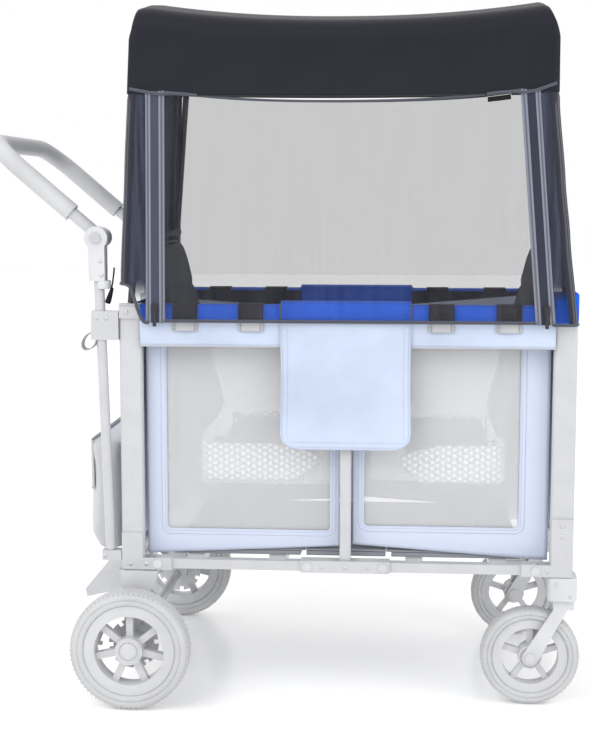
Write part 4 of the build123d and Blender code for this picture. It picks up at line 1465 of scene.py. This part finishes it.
def makeHub(end, side, sign):
    # ring on the outer face of each rim, and a domed cap on each rear axle end
    a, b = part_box(f"{end}_{side}_rim")
    centre = (a + b) / 2
    rimFace = b.y if sign > 0 else a.y
    if end == "rear":
        radius = hubCap["radius"]
        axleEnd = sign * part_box("rear_axle")[1].y + sign * 0.0002
        profile = [(0.0001, 0.0042), (radius * 0.45, 0.0040), (radius * 0.75, 0.0026),
                (radius, 0.0004), (radius, -0.0030),
                   (0.0001, -0.0030)]
        cap = lathePiece(f"{end}{side.title()}HubCap", (centre.x, axleEnd, centre.z),
                         [(r, y * sign) for r, y in profile], segments=48)
        finishPiece(cap, "rear_frame", "rim", "rim")
    ring = lathePiece(f"{end}{side.title()}HubRing", (centre.x, rimFace, centre.z),
                      [(r, y * sign) for r,
                      y in ((0.0165, -0.001), (0.0168, 0.0012), (0.0190, 0.0016),
                                                  (0.0205, 0.0008), (0.0210, -0.001),
                                                  (0.0165, -0.001))], segments=48)
    finishPiece(ring, f"{end}_{side}_wheel", "rim", "rim")


for end in ends:
    for side, sign in sides.items():
        makeTyre(end, side)
        makeHub(end, side, sign)
print("wheels done")


# rivets and screws

def rivetTree(material):
    # domed head on every point of a mesh, facing along the point's normal
    tree = bpy.data.node_groups.new("rivets", "GeometryNodeTree")
    tree.interface.new_socket("Geometry", in_out="INPUT", socket_type="NodeSocketGeometry")
    radius = tree.interface.new_socket("Head Radius", in_out="INPUT", socket_type="NodeSocketFloat")
    height = tree.interface.new_socket("Head Height", in_out="INPUT", socket_type="NodeSocketFloat")
    tree.interface.new_socket("Geometry", in_out="OUTPUT", socket_type="NodeSocketGeometry")
    start, stop = tree.nodes.new("NodeGroupInput"), tree.nodes.new("NodeGroupOutput")
    head = tree.nodes.new("GeometryNodeMeshUVSphere")
    head.inputs["Segments"].default_value, head.inputs["Rings"].default_value = 14, 8
    head.inputs["Radius"].default_value = 1.0
    scale = tree.nodes.new("ShaderNodeCombineXYZ")
    place = tree.nodes.new("GeometryNodeInstanceOnPoints")
    normal = tree.nodes.new("GeometryNodeInputNormal")
    align = tree.nodes.new("FunctionNodeAlignRotationToVector")
    real = tree.nodes.new("GeometryNodeRealizeInstances")
    paint = tree.nodes.new("GeometryNodeSetMaterial")
    paint.inputs["Material"].default_value = material
    link = tree.links.new
    for axis in ("X", "Y"):
        link(start.outputs["Head Radius"], scale.inputs[axis])
    link(start.outputs["Head Height"], scale.inputs["Z"])
    link(start.outputs["Geometry"], place.inputs["Points"])
    link(normal.outputs["Normal"], align.inputs["Vector"])
    link(align.outputs["Rotation"], place.inputs["Rotation"])
    link(scale.outputs["Vector"], place.inputs["Scale"])
    link(head.outputs["Mesh"], place.inputs["Instance"])
    link(place.outputs["Instances"], real.inputs["Geometry"])
    link(real.outputs["Geometry"], paint.inputs["Geometry"])
    link(paint.outputs["Geometry"], stop.inputs["Geometry"])
    return tree, {"Head Radius": radius.identifier, "Head Height": height.identifier}


rivetNodes, rivetSockets = rivetTree(finish["steel"])


def rivets(name, body, places, facing, radius=0.0038, height=0.0014):
    # one seed triangle per rivet, whose first corner carries the head
    points, faces = [], []
    facing = Vector(facing)
    across = facing.orthogonal().normalized() * 0.0001
    other = facing.cross(across)
    for place in places:
        start = len(points)
        points += [Vector(place), Vector(place) + across, Vector(place) + other]
        faces.append((start, start + 1, start + 2))
    mesh = bpy.data.meshes.new(name + "Seed")
    mesh.from_pydata([tuple(p) for p in points], [], faces)
    holder = bpy.data.objects.new(name + "Seed", mesh)
    bpy.context.collection.objects.link(holder)
    modifier = holder.modifiers.new("nodes", "NODES")
    modifier.node_group = rivetNodes
    modifier[rivetSockets["Head Radius"]] = radius
    modifier[rivetSockets["Head Height"]] = height
    bpy.context.view_layer.update()
    result = bpy.data.meshes.new_from_object(holder.evaluated_get(bpy.context.evaluated_depsgraph_get()))
    bpy.data.objects.remove(holder)
    obj = bpy.data.objects.new(name, result)
    bpy.context.collection.objects.link(obj)
    return finishPiece(obj, body, "steel", "pin_steel")


def makeRivets():
    plateY = high("rear_rail_brackets").y + 0.0002
    legY = high("front_legs").y + 0.0002
    for side, sign in sides.items():
        facing = (0, sign, 0)
        def spots(pairs, y):
            return [at(x, sign * y, z) for x, z in pairs]
        rivets(side + "RearPlateRivets", "rear_frame", spots([(-0.344, 0.6885), (-0.380, 0.6885),
               (-0.350, 0.2445), (-0.378, 0.2445)], plateY), facing)
        rivets(side + "FrontPlateRivets", "front_frame",
                spots([(0.350, 0.2445), (0.374, 0.325), (0.374, 0.306),
               (0.344, 0.6885), (0.380, 0.6885)], plateY), facing)
        rivets(side + "CentreRivets", "centre",
                spots([(-0.040, 0.2445), (0.040, 0.2445), (0.0, 0.2445)],
               high("centre_hinge_brackets").y + 0.0002), facing)
        rivets(side + "FrontLegScrews", "front_frame",
                spots([(0.390, 0.200), (0.366, 0.222)], legY), facing, 0.0030, 0.0012)
        top = high("handle_support_brackets")
        rivets(side + "SupportRivets", "rear_frame",
                spots([(-0.432, 0.678), (-0.414, 0.678), (-0.424, 0.2585)],
               top.y + 0.0002), facing, 0.0034, 0.0014)
        hubY = high("handle_hubs").y + 0.0002
        rivets(side + "HubScrews", "rear_frame", spots([(-0.424, 0.776), (-0.421, 0.752)], hubY),
                facing, 0.0036, 0.0012)


makeRivets()
print("rivets done")


# small things: post collars, webbing loops, canopy label, toggle, corner covers, front snaps

loop = {"from": (-0.423, 0.652), "width": 0.020, "drop": 0.030, "reach": 0.024}


def makeLoops():
    for side, sign in sides.items():
        top = loop["from"]

        def band(u, v):
            turn = -math.pi / 2 + 2 * math.pi * v
            x = top[0] - 0.010 - loop["reach"] / 2 + loop["reach"] / 2 * math.cos(turn)
            z = top[1] - loop["drop"] / 2 + loop["drop"] / 2 * math.sin(turn)
            x += (z - top[1]) * 0.35 + 0.004
            return at(x, sign * (0.236 + (u - 0.5) * loop["width"]), z)
        strap = sheetGrid(side + "WebbingLoop", band, 4, 40, 0.0022)
        finishPiece(strap, "rear_frame", "paleWebbing", "bag_cloth")
        declareSheet(strap)


def makeCollars():
    # moulded sleeves at the foot of the handle sockets
    for side, sign in sides.items():
        collar = lathePiece(side + "SocketCollar", at(-0.4208, sign * 0.237, 0.742),
                            [(0.0102, -0.014), (0.0124, -0.0135), (0.0130, -0.012),
                            (0.0130, -0.001), (0.0124, 0.001),
                             (0.0102, 0.001), (0.0102, -0.014)], axis="Z", segments=40)
        finishPiece(collar, "rear_frame", "moulding", "moulding")


def makeLabel():
    surface = doorSheet("right")

    def plate(u, v):
        point = surface(0.900 + 0.065 * u, 0.988 - 0.024 * (1 - v))
        return point + Vector((0, -0.0022, 0))
    patch = sheetGrid("doorLabel", plate, 8, 3, 0.0010)
    canopyPiece(patch, "label", "canopy_cloth")
    corners = [plate(0, 0), plate(0.5, 0), plate(1, 0), plate(1, 0.5), plate(1, 1), plate(0.5, 1),
            plate(0, 1), plate(0, 0.5)]
    edge = tubePiece("doorLabelEdge", [p + Vector((0, -0.0006, 0)) for p in corners], 0.0005,
            closed=True, order=2)
    canopyPiece(edge, "labelEdge", "canopy_cloth")


def makeToggle():
    # short elastic end with a moulded stopper at the rear lower corner of the canopy
    for side, sign in sides.items():
        line = [at(-0.402, sign * 0.235, 0.765), at(-0.4035, sign * 0.236, 0.745),
                at(-0.407, sign * 0.237, 0.728)]
        elastic = tubePiece(side + "ToggleElastic", line, 0.0016, order=3)
        canopyPiece(elastic, "darkPiping", "canopy_cloth")
        profile = [(0.0001, 0.014), (0.0022, 0.0138), (0.0032, 0.010), (0.0048, -0.006),
                (0.0052, -0.012),
                   (0.0040, -0.0148), (0.0001, -0.015)]
        stopper = lathePiece(side + "ToggleStopper", (0, 0, 0), profile, axis="Z", segments=24)
        stopper.data.transform(Matrix.Translation(at(-0.4095, sign * 0.2375,
                0.717)) @ Matrix.Rotation(math.radians(18), 4, "Y"))
        canopyPiece(stopper, "label", "canopy_cloth")


corner = {"from": 0.3515, "to": 0.3945, "low": 0.6725, "high": 0.7265}


def makeCornerCovers():
    for side, sign in sides.items():
        y0, y1 = sorted((sign * 0.2150, sign * 0.2500))
        cover = roundedBlock(side + "CornerCover", at(corner["from"], y0, corner["low"]),
                             at(corner["to"], y1, corner["high"]), 0.006)
        finishPiece(cover, "front_frame", "cornerBlue", "blue_cloth")


def makeSnap():
    for side, sign in sides.items():
        snap = lathePiece(side + "FrontSnap", at(0.326, sign * 0.2518, 0.684),
                          [(0.0001, 0.0022 * sign), (0.0030, 0.0020 * sign),
                          (0.0046, 0.0010 * sign),
                           (0.0050, -0.0008 * sign), (0.0001, -0.0008 * sign)], segments=28)
        finishPiece(snap, "front_upper_link", "steel", "pin_steel")


makeLoops()
makeCollars()
makeLabel()
makeToggle()
makeCornerCovers()
makeSnap()
print("small pieces done")


# finishes of the frame parts that keep their own shape

frameFinish = {
    "tube": ("rear_posts", "front_posts", "centre_posts", "rear_lower_rails", "rear_upper_rails",
    "front_lower_rails", "front_upper_rails", "handle_support_tubes", "push_handle"),
    "crossBar": ("rear_cross_bars", "front_cross_bars"),
    "bracket": ("rear_rail_brackets", "front_rail_brackets", "centre_hinge_brackets",
    "handle_support_brackets"),
    "steel": ("rear_hinge_pins", "front_hinge_pins", "centre_hinge_pins", "rear_axle"),
    "moulding": ("rear_legs", "front_legs", "handle_hubs", "brake_pedal", "right_caster_fork",
    "left_caster_fork"),
    "rim": ("rear_right_rim", "rear_left_rim", "front_right_rim", "front_left_rim"),
    "grip": ("handle_grip",),
    "button": ("right_handle_button", "left_handle_button"),
    "floorCloth": ("rear_floor_board", "front_floor_board", "centre_floor_strip"),
    "hoop": ("rear_canopy_hoop", "front_canopy_hoop"),
    "slider": ("rear_right_zip_slider", "rear_left_zip_slider", "front_right_zip_slider",
    "front_left_zip_slider"),
}
for material, nodes in frameFinish.items():
    for node in nodes:
        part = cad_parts[node]
        part.data.materials.clear()
        part.data.materials.append(finish[material])
print("frame finishes done")


bpy.context.scene.view_settings.view_transform = "Standard"
